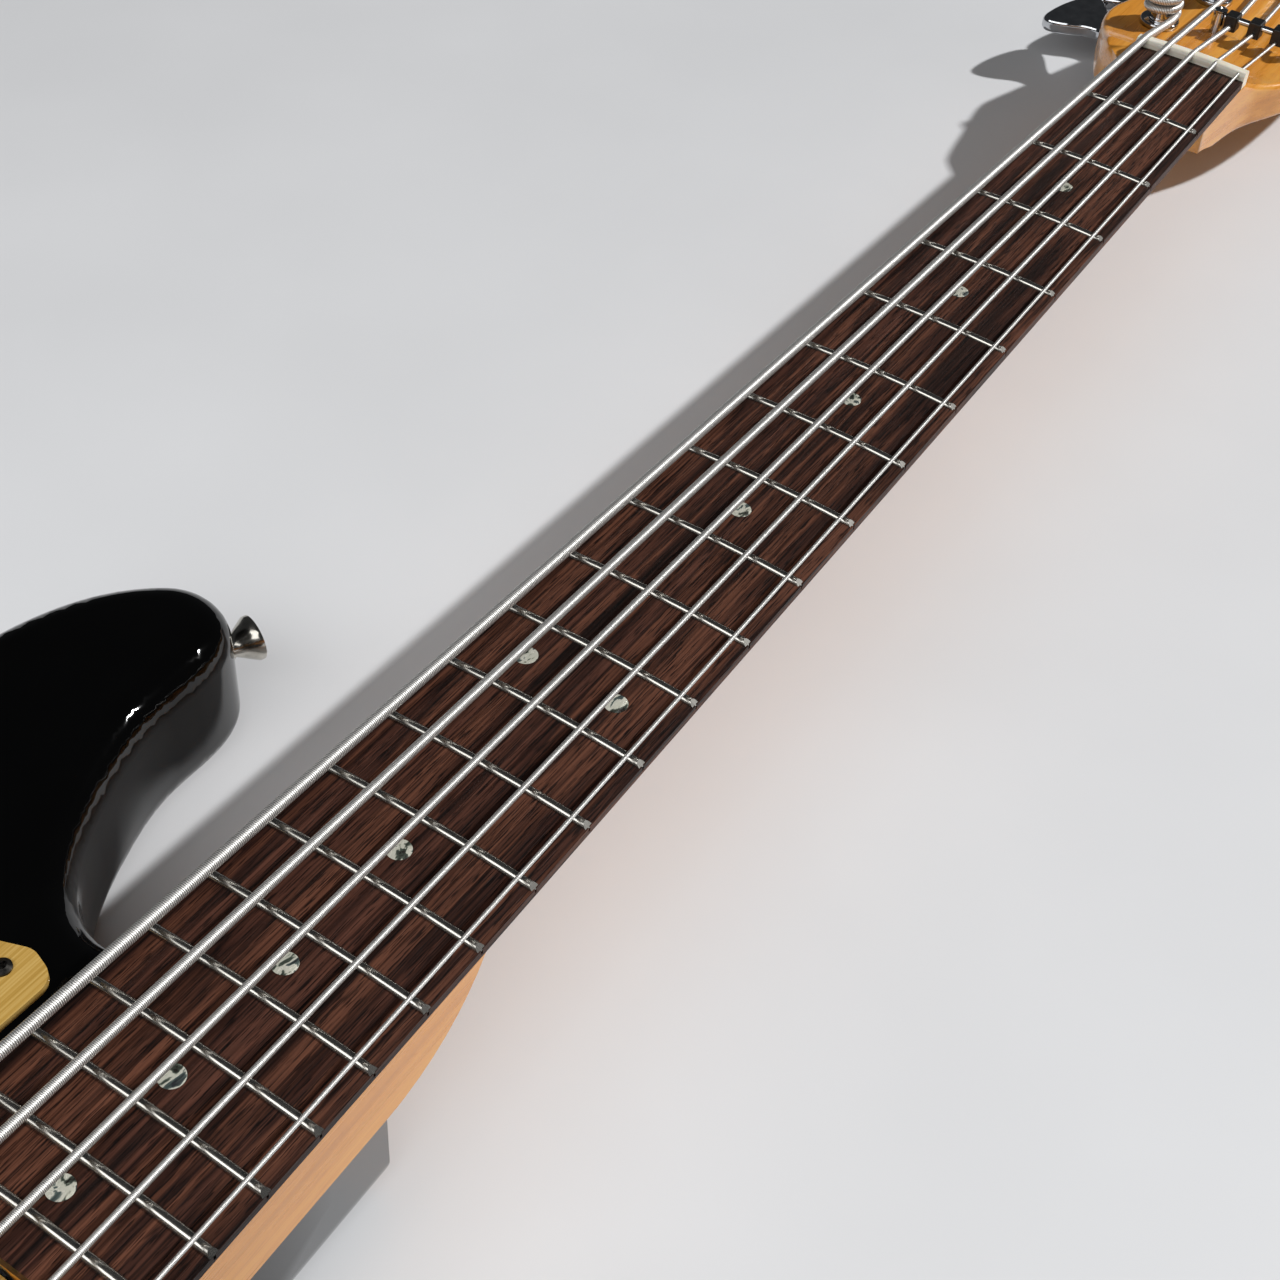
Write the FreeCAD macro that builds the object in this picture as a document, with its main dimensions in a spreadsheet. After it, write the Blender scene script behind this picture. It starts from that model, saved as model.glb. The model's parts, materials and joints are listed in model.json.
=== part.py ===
import FreeCAD, Part
import math
import os

# Five-string electric bass guitar, lying on its back.
# X runs along the neck to the headstock, Y to the low-string side, Z up from the back.
# The origin is on the back, under the line where the scale ends at the bridge.

V = FreeCAD.Vector
ALONG = V(1, 0, 0)
ACROSS = V(0, 1, 0)
STRING_NAMES = ("b", "e", "a", "d", "g")
STRINGS = range(len(STRING_NAMES))
FRET_COUNT = 21
DOT_FRETS = (3, 5, 7, 9, 12, 15, 17, 19, 21)
DOUBLE_DOT_FRET = 12
WALL_POINTS = 4000
RETAINED_STRINGS = ("a", "d", "g")
KNOB_NAMES = ("volume_knob_neck", "volume_knob_bridge", "tone_knob")

SIZES = [
    # General clearances
    ("cut_overrun", 2.0),
    ("part_gap", 0.3),
    ("running_clearance", 0.05),
    ("screw_clearance", 0.05),
    # Body
    ("body_thickness", 44.0),
    ("body_width", 332.0),
    ("tail_reach", 78.0),
    ("edge_roundover", 10.0),
    ("pocket_depth", 16.0),
    ("pocket_clearance", 0.1),
    ("pocket_length", 80.0),
    ("pocket_bass_length", 73.2),
    ("pocket_wall_length", 25.0),
    ("lip_overhang", 10.1),
    ("bass_horn_reach", 101.0),
    ("bass_tip_radius", 19.0),
    ("bass_tip_start_angle", 34.0),
    ("bass_tip_end_angle", -66.0),
    ("treble_horn_reach", 34.5),
    ("treble_tip_radius", 21.0),
    ("treble_tip_start_angle", 63.0),
    ("treble_tip_end_angle", -77.0),
    # Scale, neck and headstock
    ("scale_length", 863.6),
    ("board_past_fret", 10.15),
    ("nut_width", 45.7),
    ("heel_width", 70.7),
    ("neck_blank", 21.0),
    ("shaft_depth_nut", 17.0),
    ("shaft_depth_heel", 19.0),
    ("heel_roll_radius", 45.0),
    ("head_thickness", 14.3),
    ("head_length", 222.0),
    ("head_half_width", 50.0),
    ("head_edge_round", 2.5),
    ("head_scoop_radius", 60.0),
    ("head_scoop_start", 30.0),
    ("nut_scoop_length", 34.0),
    ("nut_shelf", 1.5),
    # Fingerboard, frets, dots and nut
    ("board_thickness", 4.0),
    ("board_radius", 385.0),
    ("fret_height", 1.1),
    ("fret_width", 2.6),
    ("tang_width", 0.6),
    ("tang_depth", 1.5),
    ("fret_end_bevel", 1.2),
    ("dot_diameter", 6.5),
    ("dot_depth", 2.0),
    ("double_dot_offset", 14.4),
    ("side_dot_diameter", 1.4),
    ("side_dot_depth", 3.0),
    ("nut_thickness", 5.0),
    ("nut_height", 7.2),
    ("nut_round", 1.6),
    # Truss rod
    ("rod_width", 6.0),
    ("rod_depth", 9.0),
    ("rod_end_gap", 14.0),
    ("rod_nut_diameter", 8.0),
    ("rod_nut_length", 11.0),
    ("rod_nut_bore", 4.0),
    # Neck screws in recessed ferrules
    ("neck_screw_spacing_x", 48.0),
    ("neck_screw_spacing_y", 38.0),
    ("neck_screw_diameter", 5.0),
    ("neck_screw_length", 40.0),
    ("neck_screw_head", 9.0),
    ("neck_screw_head_height", 2.6),
    ("ferrule_diameter", 14.0),
    ("ferrule_height", 6.0),
    ("ferrule_floor", 2.4),
    # Strings
    ("string_spread_nut", 39.7),
    ("string_spread_bridge", 73.0),
    ("string_b", 3.30),
    ("string_e", 2.67),
    ("string_a", 2.16),
    ("string_d", 1.65),
    ("string_g", 1.14),
    ("action_nut", 0.5),
    ("action_bridge", 4.2),
    ("string_corner", 2.2),
    ("winding_gap", 0.5),
    ("winding_height", 8.9),
    ("winding_lift", 5.4),
    ("winding_lead", 7.0),
    ("ball_diameter", 6.4),
    ("ball_width", 5.6),
    # Tuners
    ("post_setback", 43.5),
    ("post_side", 28.5),
    ("post_pitch", 36.4),
    ("post_line_angle", 15.95),
    ("post_diameter", 9.5),
    ("post_waist", 8.8),
    ("post_cap", 11.2),
    ("post_neck_length", 2.0),
    ("post_above_slot", 4.4),
    ("bushing_flange", 16.0),
    ("bushing_flange_height", 2.4),
    ("bushing_barrel", 12.4),
    ("wheel_diameter", 13.6),
    ("wheel_width", 5.0),
    ("worm_diameter", 7.0),
    ("worm_length", 14.0),
    ("key_shaft_diameter", 5.0),
    ("housing_wall", 1.5),
    ("housing_height", 13.0),
    ("housing_length", 24.0),
    ("housing_width", 26.4),
    ("housing_round", 2.0),
    ("ear_length", 5.6),
    ("ear_thickness", 1.6),
    ("key_stem_length", 17.0),
    ("key_stem_diameter", 7.0),
    ("key_length", 26.0),
    ("key_width", 35.4),
    ("key_thickness", 6.4),
    ("key_round", 2.4),
    ("tuner_screw_diameter", 2.4),
    ("tuner_screw_length", 9.0),
    ("tuner_screw_head", 4.4),
    ("tuner_screw_head_height", 1.2),
    # String retainer
    ("retainer_setback", 52.0),
    ("retainer_string_height", 4.4),
    ("retainer_rod_diameter", 2.8),
    ("retainer_rod_height", 7.6),
    ("retainer_near_gap", 5.7),
    ("retainer_far_gap", 8.5),
    ("retainer_foot_diameter", 5.4),
    ("retainer_foot_height", 9.2),
    ("block_length", 6.0),
    ("block_width", 5.2),
    ("block_height", 6.6),
    # Pickups
    ("neck_pickup_reach", 152.0),
    ("bridge_pickup_reach", 61.0),
    ("neck_pickup_length", 100.0),
    ("bridge_pickup_length", 104.0),
    ("pickup_width", 24.0),
    ("pickup_height", 23.0),
    ("pickup_depth", 14.0),
    ("pickup_corner", 8.0),
    ("pickup_edge_round", 1.6),
    ("pickup_wall", 1.8),
    ("pickup_end", 12.0),
    ("rout_clearance", 0.6),
    ("coil_clearance", 0.8),
    ("coil_height", 14.0),
    ("coil_corner", 5.0),
    ("pole_diameter", 4.8),
    ("pole_pair_gap", 9.0),
    ("pole_proud", 0.5),
    ("pole_length", 19.0),
    ("pickup_screw_diameter", 2.6),
    ("pickup_screw_length", 32.0),
    ("pickup_screw_head", 5.0),
    ("pickup_screw_head_height", 1.6),
    # Pickguard
    ("guard_thickness", 2.0),
    ("guard_past_heel", 59.2),
    ("guard_past_pickup", 51.7),
    ("guard_side_inset", 48.0),
    ("guard_treble_rim", 16.0),
    ("guard_corner", 12.0),
    ("guard_tip_corner", 6.0),
    ("guard_tip_setback", 3.0),
    ("guard_end_gap", 0.8),
    ("guard_side_gap", 8.6),
    ("guard_screw_diameter", 2.6),
    ("guard_screw_length", 12.0),
    ("guard_screw_head", 5.0),
    ("guard_screw_head_height", 1.3),
    # Bridge
    ("bridge_length", 60.0),
    ("bridge_width", 96.0),
    ("bridge_back_reach", 36.0),
    ("bridge_base", 3.0),
    ("bridge_flange", 3.5),
    ("bridge_flange_height", 16.5),
    ("bridge_round", 3.0),
    ("flange_string_height", 12.0),
    ("flange_screw_height", 5.7),
    ("string_hole_clearance", 0.4),
    ("bridge_screw_front", 17.0),
    ("bridge_screw_diameter", 3.4),
    ("bridge_screw_length", 22.0),
    ("bridge_screw_head", 6.4),
    ("bridge_screw_head_height", 2.0),
    ("saddle_length", 16.0),
    ("saddle_width", 16.4),
    ("saddle_setback", 6.0),
    ("saddle_groove", 0.8),
    ("saddle_string_gap", 0.5),
    ("saddle_round", 1.2),
    ("grub_diameter", 3.0),
    ("grub_spacing", 10.6),
    ("grub_forward", 4.0),
    ("grub_proud", 1.6),
    ("intonation_diameter", 3.0),
    ("intonation_head", 5.4),
    ("intonation_head_height", 3.0),
    # Control plate, pots, knobs and jack
    ("plate_length", 150.0),
    ("plate_width", 38.0),
    ("plate_thickness", 1.6),
    ("plate_centre_x", 42.0),
    ("plate_angle", 10.0),
    ("plate_rim", 6.0),
    ("cavity_floor", 6.0),
    ("control_pitch", 36.0),
    ("pot_diameter", 17.0),
    ("pot_height", 12.0),
    ("pot_bush_diameter", 9.0),
    ("pot_shaft_diameter", 6.0),
    ("pot_shaft_rise", 15.0),
    ("panel_nut_width", 12.0),
    ("panel_nut_height", 2.2),
    ("knob_diameter", 20.0),
    ("knob_height", 16.0),
    ("knob_edge_round", 1.6),
    ("knob_groove", 1.0),
    ("knob_lift", 0.6),
    ("jack_bore", 6.5),
    ("jack_bush_diameter", 9.0),
    ("jack_body_diameter", 15.0),
    ("jack_body_height", 24.0),
    ("capacitor_length", 16.0),
    ("capacitor_width", 6.0),
    ("capacitor_height", 11.0),
    ("small_screw_diameter", 2.6),
    ("small_screw_length", 18.0),
    ("small_screw_head", 5.4),
    ("small_screw_head_height", 1.5),
    # Strap buttons
    ("button_base", 9.0),
    ("button_waist", 6.0),
    ("button_flange", 13.6),
    ("button_length", 9.6),
    ("button_rim", 1.2),
    ("button_waist_height", 2.2),
    ("button_seat", 0.8),
    ("horn_button_angle", -18.0),
    ("tail_button_angle", 180.0),
    ("strap_screw_diameter", 4.2),
    ("strap_screw_length", 36.0),
    ("strap_screw_head", 7.4),
    ("strap_screw_head_height", 2.2),
]

doc = FreeCAD.newDocument("bass_guitar")
sheet = doc.addObject("Spreadsheet::Sheet", "Sizes")
for row, (alias, value) in enumerate(SIZES, start=1):
    sheet.set("A%d" % row, alias)
    sheet.set("B%d" % row, str(value))
    sheet.setAlias("B%d" % row, alias)
doc.recompute()

nodes = {}


def size(alias):
    return float(sheet.get(alias))


def node(label, obj):
    """Name a document object as one of the pieces that are written out."""
    obj.Label = label
    nodes[label] = obj
    return obj


def bind(obj, **expressions):
    """Tie properties of an object to the sheet, with Sizes named in the expression."""
    for name, expression in expressions.items():
        obj.setExpression(name, expression)
    return obj


def solid(kind, label, origin=V(), turn=FreeCAD.Rotation(), **expressions):
    """A primitive of the document, bound to the sheet and set in its place."""
    obj = doc.addObject(kind, label)
    bind(obj, **expressions)
    obj.Placement = FreeCAD.Placement(origin, turn)
    return obj


def shaped(label, shape):
    """A piece whose form is worked out here."""
    obj = doc.addObject("Part::Feature", label)
    obj.Shape = shape
    return obj


def group(label, members):
    obj = doc.addObject("Part::Compound", label)
    obj.Links = members
    return obj


def joined(label, members):
    obj = doc.addObject("Part::MultiFuse", label)
    obj.Shapes = members
    return obj


def cut(label, base, tool):
    obj = doc.addObject("Part::Cut", label)
    obj.Base = base
    obj.Tool = tool
    return obj


def rounded(label, base, radius, keep):
    """Round the edges that keep(edge) picks."""
    doc.recompute()
    obj = doc.addObject("Part::Fillet", label)
    obj.Base = base
    picked = [i for i, edge in enumerate(base.Shape.Edges, start=1) if keep(edge)]
    obj.Edges = [(i, radius, radius) for i in picked]
    return obj


def along_z(edge):
    box = edge.BoundBox
    return box.ZLength > max(box.XLength, box.YLength)


def edge_at(height):
    def keep(edge):
        box = edge.BoundBox
        return abs(box.ZMin - height) < edge_tolerance and abs(box.ZMax - height) < edge_tolerance
    return keep


def prism(points, low, high):
    """An upright block over a polygon of X, Y points."""
    corners = [V(x, y, low) for x, y in points]
    face = Part.Face(Part.makePolygon(corners + corners[:1]))
    return face.extrude(V(0, 0, high - low))


def rounded_outline(points, radii, level):
    """A closed wire through X, Y corners, each rounded to its own radius."""
    edges = []
    count = len(points)
    ends = []
    for i in range(count):
        before = V(*points[i - 1], level)
        corner = V(*points[i], level)
        after = V(*points[(i + 1) % count], level)
        into = (corner - before).normalize()
        out = (after - corner).normalize()
        half_turn = into.getAngle(out) / 2
        reach = radii[i] * math.tan(half_turn)
        start = corner - into * reach
        finish = corner + out * reach
        inward = (out - into).normalize()
        middle = corner + inward * radii[i] * (1 / math.cos(half_turn) - 1)
        ends.append((start, middle, finish))
    for i, (start, middle, finish) in enumerate(ends):
        edges.append(Part.LineSegment(ends[i - 1][2], start).toShape())
        edges.append(Part.Arc(start, middle, finish).toShape())
    return Part.Wire(edges)


def screw(diameter, length, head, head_height):
    """A round-headed screw, its head on Z 0 and its shank below, with a cross recess."""
    radius = diameter / 2
    dome = head_height / 2
    point = diameter
    profile = [V(0, 0, -length), V(radius, 0, point - length), V(radius, 0, 0), V(head / 2, 0, 0)]
    profile += [V(head / 2, 0, dome), V(head / 4, 0, head_height), V(0, 0, head_height)]
    blank = Part.Face(Part.makePolygon(profile + profile[:1])).revolve(V(), V(0, 0, 1), 360)
    long_side = head / 2
    short_side = head / 8
    depth = head_height
    base = V(-long_side / 2, -short_side / 2, head_height - depth / 2)
    slot = Part.makeBox(long_side, short_side, depth, base)
    turned = slot.copy()
    turned.rotate(V(), V(0, 0, 1), 90)
    return blank.cut([slot, turned])


def named_screw(prefix):
    names = ("_diameter", "_length", "_head", "_head_height")
    return screw(*[size(prefix + name) for name in names])


def placed(shape, origin, turn=FreeCAD.Rotation()):
    copy = shape.copy()
    copy.Placement = FreeCAD.Placement(origin, turn)
    return copy


def screw_hole(prefix, origin, turn=FreeCAD.Rotation()):
    """The hole that a named screw needs below its head."""
    radius = size(prefix + "_diameter") / 2 + size("screw_clearance")
    depth = size(prefix + "_length") + size("screw_clearance")
    hole = Part.makeCylinder(radius, depth + overrun, V(0, 0, -depth))
    return placed(hole, origin, turn)


# Heights and stations that several pieces share
overrun = size("cut_overrun")
edge_tolerance = size("part_gap")
top = size("body_thickness")
scale = size("scale_length")
heel_bottom = top - size("pocket_depth")
board_bottom = heel_bottom + size("neck_blank")
board_top = board_bottom + size("board_thickness")
crown_top = board_top + size("fret_height")
head_face = heel_bottom + size("head_thickness")
heel_x = scale / 2 ** (FRET_COUNT / 12) - size("board_past_fret")
neck_length = scale - heel_x
upright = FreeCAD.Rotation()
upside_down = FreeCAD.Rotation(ALONG, 180)
towards_head = FreeCAD.Rotation(ACROSS, 90)


def fret_reach(number):
    """Distance of a fret from the end of the scale at the bridge."""
    return scale * 2 ** (-number / 12)


def neck_half(x):
    """Half the width of the neck at a station along it."""
    share = (scale - x) / neck_length
    return (size("nut_width") + (size("heel_width") - size("nut_width")) * share) / 2


def arch_drop(y, radius):
    """How far an arched surface falls at a distance from the middle."""
    return radius - math.sqrt(radius ** 2 - y ** 2)


# Body outline. Each horn is in shares of its reach past the neck pocket and of the width from the
# pocket to the side, round its tip's own arc; the rest is in shares of length and of half the width.
treble_cutaway_shares = [(-0.600, 0.176), (-0.168, 0.421)]
treble_tip_share = 0.680
tail_shares = [
    (0.639, -0.867), (0.498, -0.855), (0.348, -0.916), (0.197, -1.000), (0.056, -0.771),
    (0.000, -0.181), (0.012, 0.301), (0.096, 0.795), (0.277, 1.000), (0.458, 0.910), (0.639, 0.825),
]
bass_shoulder_shares = [(0.101, 0.815), (0.546, 0.800), (0.829, 0.710)]
bass_tip_share = 0.512
bass_cutaway_shares = [(0.606, 0.346), (0.369, 0.295), (0.164, 0.215), (0.047, 0.1255)]
lip_x = heel_x + size("pocket_length")
lip_bass_x = heel_x + size("pocket_bass_length")
wall_x = heel_x + size("pocket_wall_length")


def tip_arc(name, centre):
    """Arc round the tip of a horn: three points on it, and the outline's way at its two ends."""
    angles = [math.radians(size(name + end)) for end in ("_tip_start_angle", "_tip_end_angle")]
    angles.insert(1, sum(angles) / 2)
    spokes = [V(math.cos(angle), math.sin(angle), 0) for angle in angles]
    points = [centre + spoke * size(name + "_tip_radius") for spoke in spokes]
    ways = [V(spoke.y, -spoke.x, 0) for spoke in (spokes[0], spokes[-1])]
    return points, ways


def spline(points, start_way, end_way):
    curve = Part.BSplineCurve()
    curve.interpolate(Points=points, InitialTangent=start_way, FinalTangent=end_way, Scale=False)
    return curve.toShape()


def body_wire():
    """Outline at the back: lip under the neck, wall beside the heel, then all round."""
    corner = V(lip_x, -neck_half(lip_x), 0)
    wall_end = V(wall_x, -neck_half(wall_x), 0)
    lip_end = V(lip_bass_x, neck_half(lip_bass_x) + size("lip_overhang"), 0)
    half = size("body_width") / 2
    tip_x = lip_bass_x + size("bass_horn_reach")
    length = size("tail_reach") + tip_x

    def treble_point(x_share, y_share):
        return V(wall_x + x_share * size("treble_horn_reach"), wall_end.y - y_share * (half + wall_end.y), 0)

    def bass_point(x_share, y_share):
        return V(lip_bass_x + x_share * size("bass_horn_reach"), lip_end.y + y_share * (half - lip_end.y), 0)

    treble_tip = treble_point(1, treble_tip_share) - ALONG * size("treble_tip_radius")
    bass_tip = bass_point(1, bass_tip_share) - ALONG * size("bass_tip_radius")
    treble_arc, treble_ways = tip_arc("treble", treble_tip)
    bass_arc, bass_ways = tip_arc("bass", bass_tip)
    treble_cutaway = [treble_point(*share) for share in treble_cutaway_shares]
    tail = [V(x * length - size("tail_reach"), y * half, 0) for x, y in tail_shares]
    bass_shoulder = [bass_point(*share) for share in bass_shoulder_shares]
    bass_cutaway = [bass_point(*share) for share in bass_cutaway_shares]
    into = (corner - lip_end).normalize()
    out = (wall_end - corner).normalize()
    edges = [
        Part.LineSegment(lip_end, corner).toShape(),
        Part.LineSegment(corner, wall_end).toShape(),
        spline([wall_end] + treble_cutaway + treble_arc[:1], out, treble_ways[0]),
        Part.Arc(*treble_arc).toShape(),
        spline(treble_arc[-1:] + tail + bass_shoulder + bass_arc[:1], treble_ways[1], bass_ways[0]),
        Part.Arc(*bass_arc).toShape(),
        spline(bass_arc[-1:] + bass_cutaway + [lip_end], bass_ways[1], into),
    ]
    return Part.Wire(edges)


body_face = shaped("body_outline", Part.Face(body_wire()))
body_blank = doc.addObject("Part::Extrusion", "body_blank")
body_blank.Base = body_face
body_blank.DirMode = "Custom"
body_blank.Dir = V(0, 0, 1)
body_blank.Solid = True
bind(body_blank, LengthFwd="Sizes.body_thickness")
at_faces = [edge_at(0), edge_at(top)]
body_round = rounded(
    "body_round", body_blank, size("edge_roundover"), lambda edge: any(keep(edge) for keep in at_faces))


# Neck: a shaft of arc section, a flat-sided heel, and a headstock that flares behind the nut
def shaft_section(x, depth):
    half = neck_half(x)
    left = V(x, -half, board_bottom)
    right = V(x, half, board_bottom)
    arc = Part.Arc(left, V(x, 0, board_bottom - depth), right).toShape()
    return Part.Wire([arc, Part.LineSegment(right, left).toShape()])


head_bass_shares = [(-0.117, 0.42), (-0.045, 0.50), (0.009, 0.70), (0.090, 0.89), (0.225, 0.99)]
head_tip_shares = [
    (0.856, 0.19), (0.964, -0.08), (1.000, -0.44), (0.955, -0.80), (0.811, -0.94), (0.541, -0.94),
    (0.315, -0.87), (0.126, -0.66), (0.032, -0.49), (-0.054, -0.43), (-0.117, -0.40),
]


def head_point(share):
    return V(scale + share[0] * size("head_length"), share[1] * size("head_half_width"), heel_bottom)


def head_blank():
    """The headstock as an upright block over its outline, edges softened."""
    bass = [head_point(s) for s in head_bass_shares]
    tip = [head_point(s) for s in head_tip_shares]
    edge_way = (tip[0] - bass[-1]).normalize()
    bass_curve = Part.BSplineCurve()
    bass_curve.interpolate(Points=bass, InitialTangent=ALONG, FinalTangent=edge_way, Scale=False)
    tip_curve = Part.BSplineCurve()
    tip_curve.interpolate(Points=tip, InitialTangent=edge_way, FinalTangent=V(-1, 0, 0), Scale=False)
    edges = [
        bass_curve.toShape(),
        Part.LineSegment(bass[-1], tip[0]).toShape(),
        tip_curve.toShape(),
        Part.LineSegment(tip[-1], bass[0]).toShape(),
    ]
    return Part.Face(Part.Wire(edges)).extrude(V(0, 0, board_bottom - heel_bottom))


def face_scoop():
    """What lies above the headstock's face, behind the nut shelf and its hollow curve."""
    shelf = scale + size("nut_thickness") + size("nut_shelf")
    flat = shelf + size("nut_scoop_length")
    far = scale + size("head_length") + overrun
    rise = board_bottom - head_face
    run = flat - shelf
    radius = (run ** 2 + rise ** 2) / (2 * rise)
    middle_angle = math.asin(run / radius) / 2
    start = V(shelf, 0, board_bottom)
    middle = V(flat - radius * math.sin(middle_angle), 0, head_face + radius * (1 - math.cos(middle_angle)))
    finish = V(flat, 0, head_face)
    edges = [
        Part.Arc(start, middle, finish).toShape(),
        Part.LineSegment(finish, V(far, 0, head_face)).toShape(),
        Part.LineSegment(V(far, 0, head_face), V(far, 0, board_bottom + overrun)).toShape(),
        Part.LineSegment(V(far, 0, board_bottom + overrun), V(shelf, 0, board_bottom + overrun)).toShape(),
        Part.LineSegment(V(shelf, 0, board_bottom + overrun), start).toShape(),
    ]
    face = Part.Face(Part.Wire(edges))
    width = 2 * size("head_half_width") + overrun
    face.translate(V(0, -width / 2, 0))
    return face.extrude(V(0, width, 0))


def tapered_block(near, far):
    """A full-height length of the neck, as wide as the fingerboard."""
    corners = [
        (near, -neck_half(near)), (far, -neck_half(far)), (far, neck_half(far)), (near, neck_half(near))]
    return prism(corners, heel_bottom, board_bottom)


def neck_blank():
    shaft_start = scale + size("nut_thickness") + size("nut_shelf")
    sections = [
        shaft_section(shaft_start, size("shaft_depth_nut")),
        shaft_section(lip_x, size("shaft_depth_heel")),
    ]
    shaft = Part.makeLoft(sections, True, True)
    across = size("heel_width") + overrun
    roll_radius = size("heel_roll_radius")
    roll_axis = V(lip_x, -across / 2, heel_bottom + roll_radius)
    roll = Part.makeCylinder(roll_radius, across, roll_axis, ACROSS)
    block = tapered_block(heel_x, lip_x)
    heel = block.fuse(tapered_block(lip_x, lip_x + roll_radius).common(roll))
    head = head_blank().cut(face_scoop())
    outside = [e for e in head.Edges if edge_at(heel_bottom)(e) or edge_at(head_face)(e)]
    behind_nut = scale + size("head_scoop_start")
    rim = [e for e in outside if e.BoundBox.XMax > behind_nut]
    head = head.makeFillet(size("head_edge_round"), rim)
    head_radius = size("head_scoop_radius")
    neck_back = board_bottom - size("shaft_depth_nut")
    head_axis = V(scale - size("head_scoop_start"), -across / 2, neck_back - head_radius)
    head = head.cut(Part.makeCylinder(head_radius, across, head_axis, ACROSS))
    return shaft.fuse([heel, head]).removeSplitter()


# Tuners stand in a line beside the straight low-string edge of the headstock
tuner_turn = FreeCAD.Rotation(V(0, 0, 1), -size("post_line_angle"))


def post_place(index):
    angle = math.radians(size("post_line_angle"))
    step = size("post_pitch") * index
    x = scale + size("post_setback") + step * math.cos(angle)
    return V(x, size("post_side") - step * math.sin(angle), 0)


ear_middle = size("housing_length") / 2 + size("ear_length") / 2
worm_offset = size("wheel_diameter") / 2 + size("worm_diameter") / 2 + size("part_gap")
housing_left = -size("wheel_diameter") / 2 - size("part_gap") - size("housing_wall")
worm_height = heel_bottom - size("housing_height") / 2
ear_top = heel_bottom - size("ear_thickness")
ear_places = [V(worm_offset / 2, side * ear_middle, ear_top) for side in (-1, 1)]


def tuner_holes():
    holes = []
    for index in STRINGS:
        place = post_place(index)
        radius = size("bushing_barrel") / 2 + size("screw_clearance")
        depth = size("head_thickness") + 2 * overrun
        holes.append(Part.makeCylinder(radius, depth, place + V(0, 0, heel_bottom - overrun)))
        seat_radius = size("bushing_flange") / 2 + size("screw_clearance")
        holes.append(Part.makeCylinder(seat_radius, size("head_thickness"), place + V(0, 0, head_face)))
        for ear in ear_places:
            ear_place = place + tuner_turn.multVec(ear)
            holes.append(screw_hole("tuner_screw", ear_place, tuner_turn * upside_down))
    return holes


# Strings: spread, heights and the route of each from its ball end to its post
def string_share(index):
    return 0.5 - index / (len(STRING_NAMES) - 1)


def string_radius(index):
    return size("string_" + STRING_NAMES[index]) / 2


def saddle_y(index):
    return string_share(index) * size("string_spread_bridge")


def string_height(y, action):
    return crown_top - arch_drop(y, size("board_radius")) + size(action)


saddle_setback_shares = (1.0, 0.8, 0.6, 0.35, 0.1)
flange_back = -size("bridge_back_reach")
flange_string = top + size("flange_string_height")
retainer_x = scale + size("retainer_setback")
retainer_string = head_face + size("retainer_string_height")
winding_foot = head_face + size("winding_lift")


def saddle_point(index):
    y = saddle_y(index)
    z = string_height(y, "action_bridge") + string_radius(index)
    return V(-saddle_setback_shares[index] * size("saddle_setback"), y, z)


def nut_point(index):
    y = string_share(index) * size("string_spread_nut")
    z = string_height(y, "action_nut") + string_radius(index)
    return V(scale + size("nut_thickness") / 2, y, z)


def winding_radius(index):
    return size("post_waist") / 2 + size("part_gap") + string_radius(index)


def winding_heading(index, start):
    """Direction in plan of the run that meets the post on its right-hand side."""
    to_post = post_place(index) - V(start.x, start.y, 0)
    bearing = math.atan2(to_post.y, to_post.x)
    return bearing - math.asin(winding_radius(index) / to_post.Length)


def string_route(index):
    """Corners of a string from its ball end to just before its post."""
    saddle = saddle_point(index)
    nut = nut_point(index)
    ball_front = flange_back - size("part_gap")
    route = [V(ball_front, saddle.y, flange_string), saddle, nut]
    heading = winding_heading(index, nut)
    if STRING_NAMES[index] in RETAINED_STRINGS:
        run = (retainer_x - nut.x) / math.cos(heading)
        route.append(V(retainer_x, nut.y + run * math.sin(heading), retainer_string))
    return route, heading


def corner_edges(points, reach):
    """Straight runs joined by arcs that leave each corner by the given reach."""
    edges = []
    last = points[0]
    for before, corner, after in zip(points, points[1:], points[2:]):
        start = corner + (before - corner).normalize() * reach
        finish = corner + (after - corner).normalize() * reach
        edges.append(Part.LineSegment(last, start).toShape())
        edges.append(Part.Arc(start, arc_middle(start, corner, finish), finish).toShape())
        last = finish
    edges.append(Part.LineSegment(last, points[-1]).toShape())
    return edges


def arc_middle(start, corner, finish):
    """Middle of the arc that touches two equal legs of a corner at their ends."""
    weight = (finish - start).Length / 2 / (corner - start).Length
    return (start + corner * (2 * weight) + finish) * (1 / (2 + 2 * weight))


def biarc_edges(start, start_way, finish, finish_way):
    """Two arcs that leave one point along its way and reach the other along its own."""
    across = finish - start
    ways = start_way + finish_way
    spread = 2 * (1 - start_way.dot(finish_way))
    lean = across.dot(ways)
    leg = (math.sqrt(lean ** 2 + spread * across.dot(across)) - lean) / spread
    first = start + start_way * leg
    second = finish - finish_way * leg
    joint = (first + second) * 0.5
    arcs = [(start, first, joint), (joint, second, finish)]
    return [Part.Arc(a, arc_middle(a, b, c), c).toShape() for a, b, c in arcs]


def winding_turns(index):
    """As many quarter turns as the height of the winding takes."""
    quarters = math.floor(4 * size("winding_height") / (2 * string_radius(index) + size("winding_gap")))
    return quarters / 4


def winding_point(index, foot_angle, turn):
    """Point and direction on the winding after a number of turns."""
    radius = winding_radius(index)
    angle = foot_angle + 2 * math.pi * turn
    pitch = size("winding_height") / winding_turns(index)
    height = winding_foot + pitch * turn
    point = post_place(index) + V(radius * math.cos(angle), radius * math.sin(angle), height)
    climb = pitch / (2 * math.pi * radius)
    return point, V(-math.sin(angle), math.cos(angle), climb).normalize(), angle


bend_share = 0.45


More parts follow.
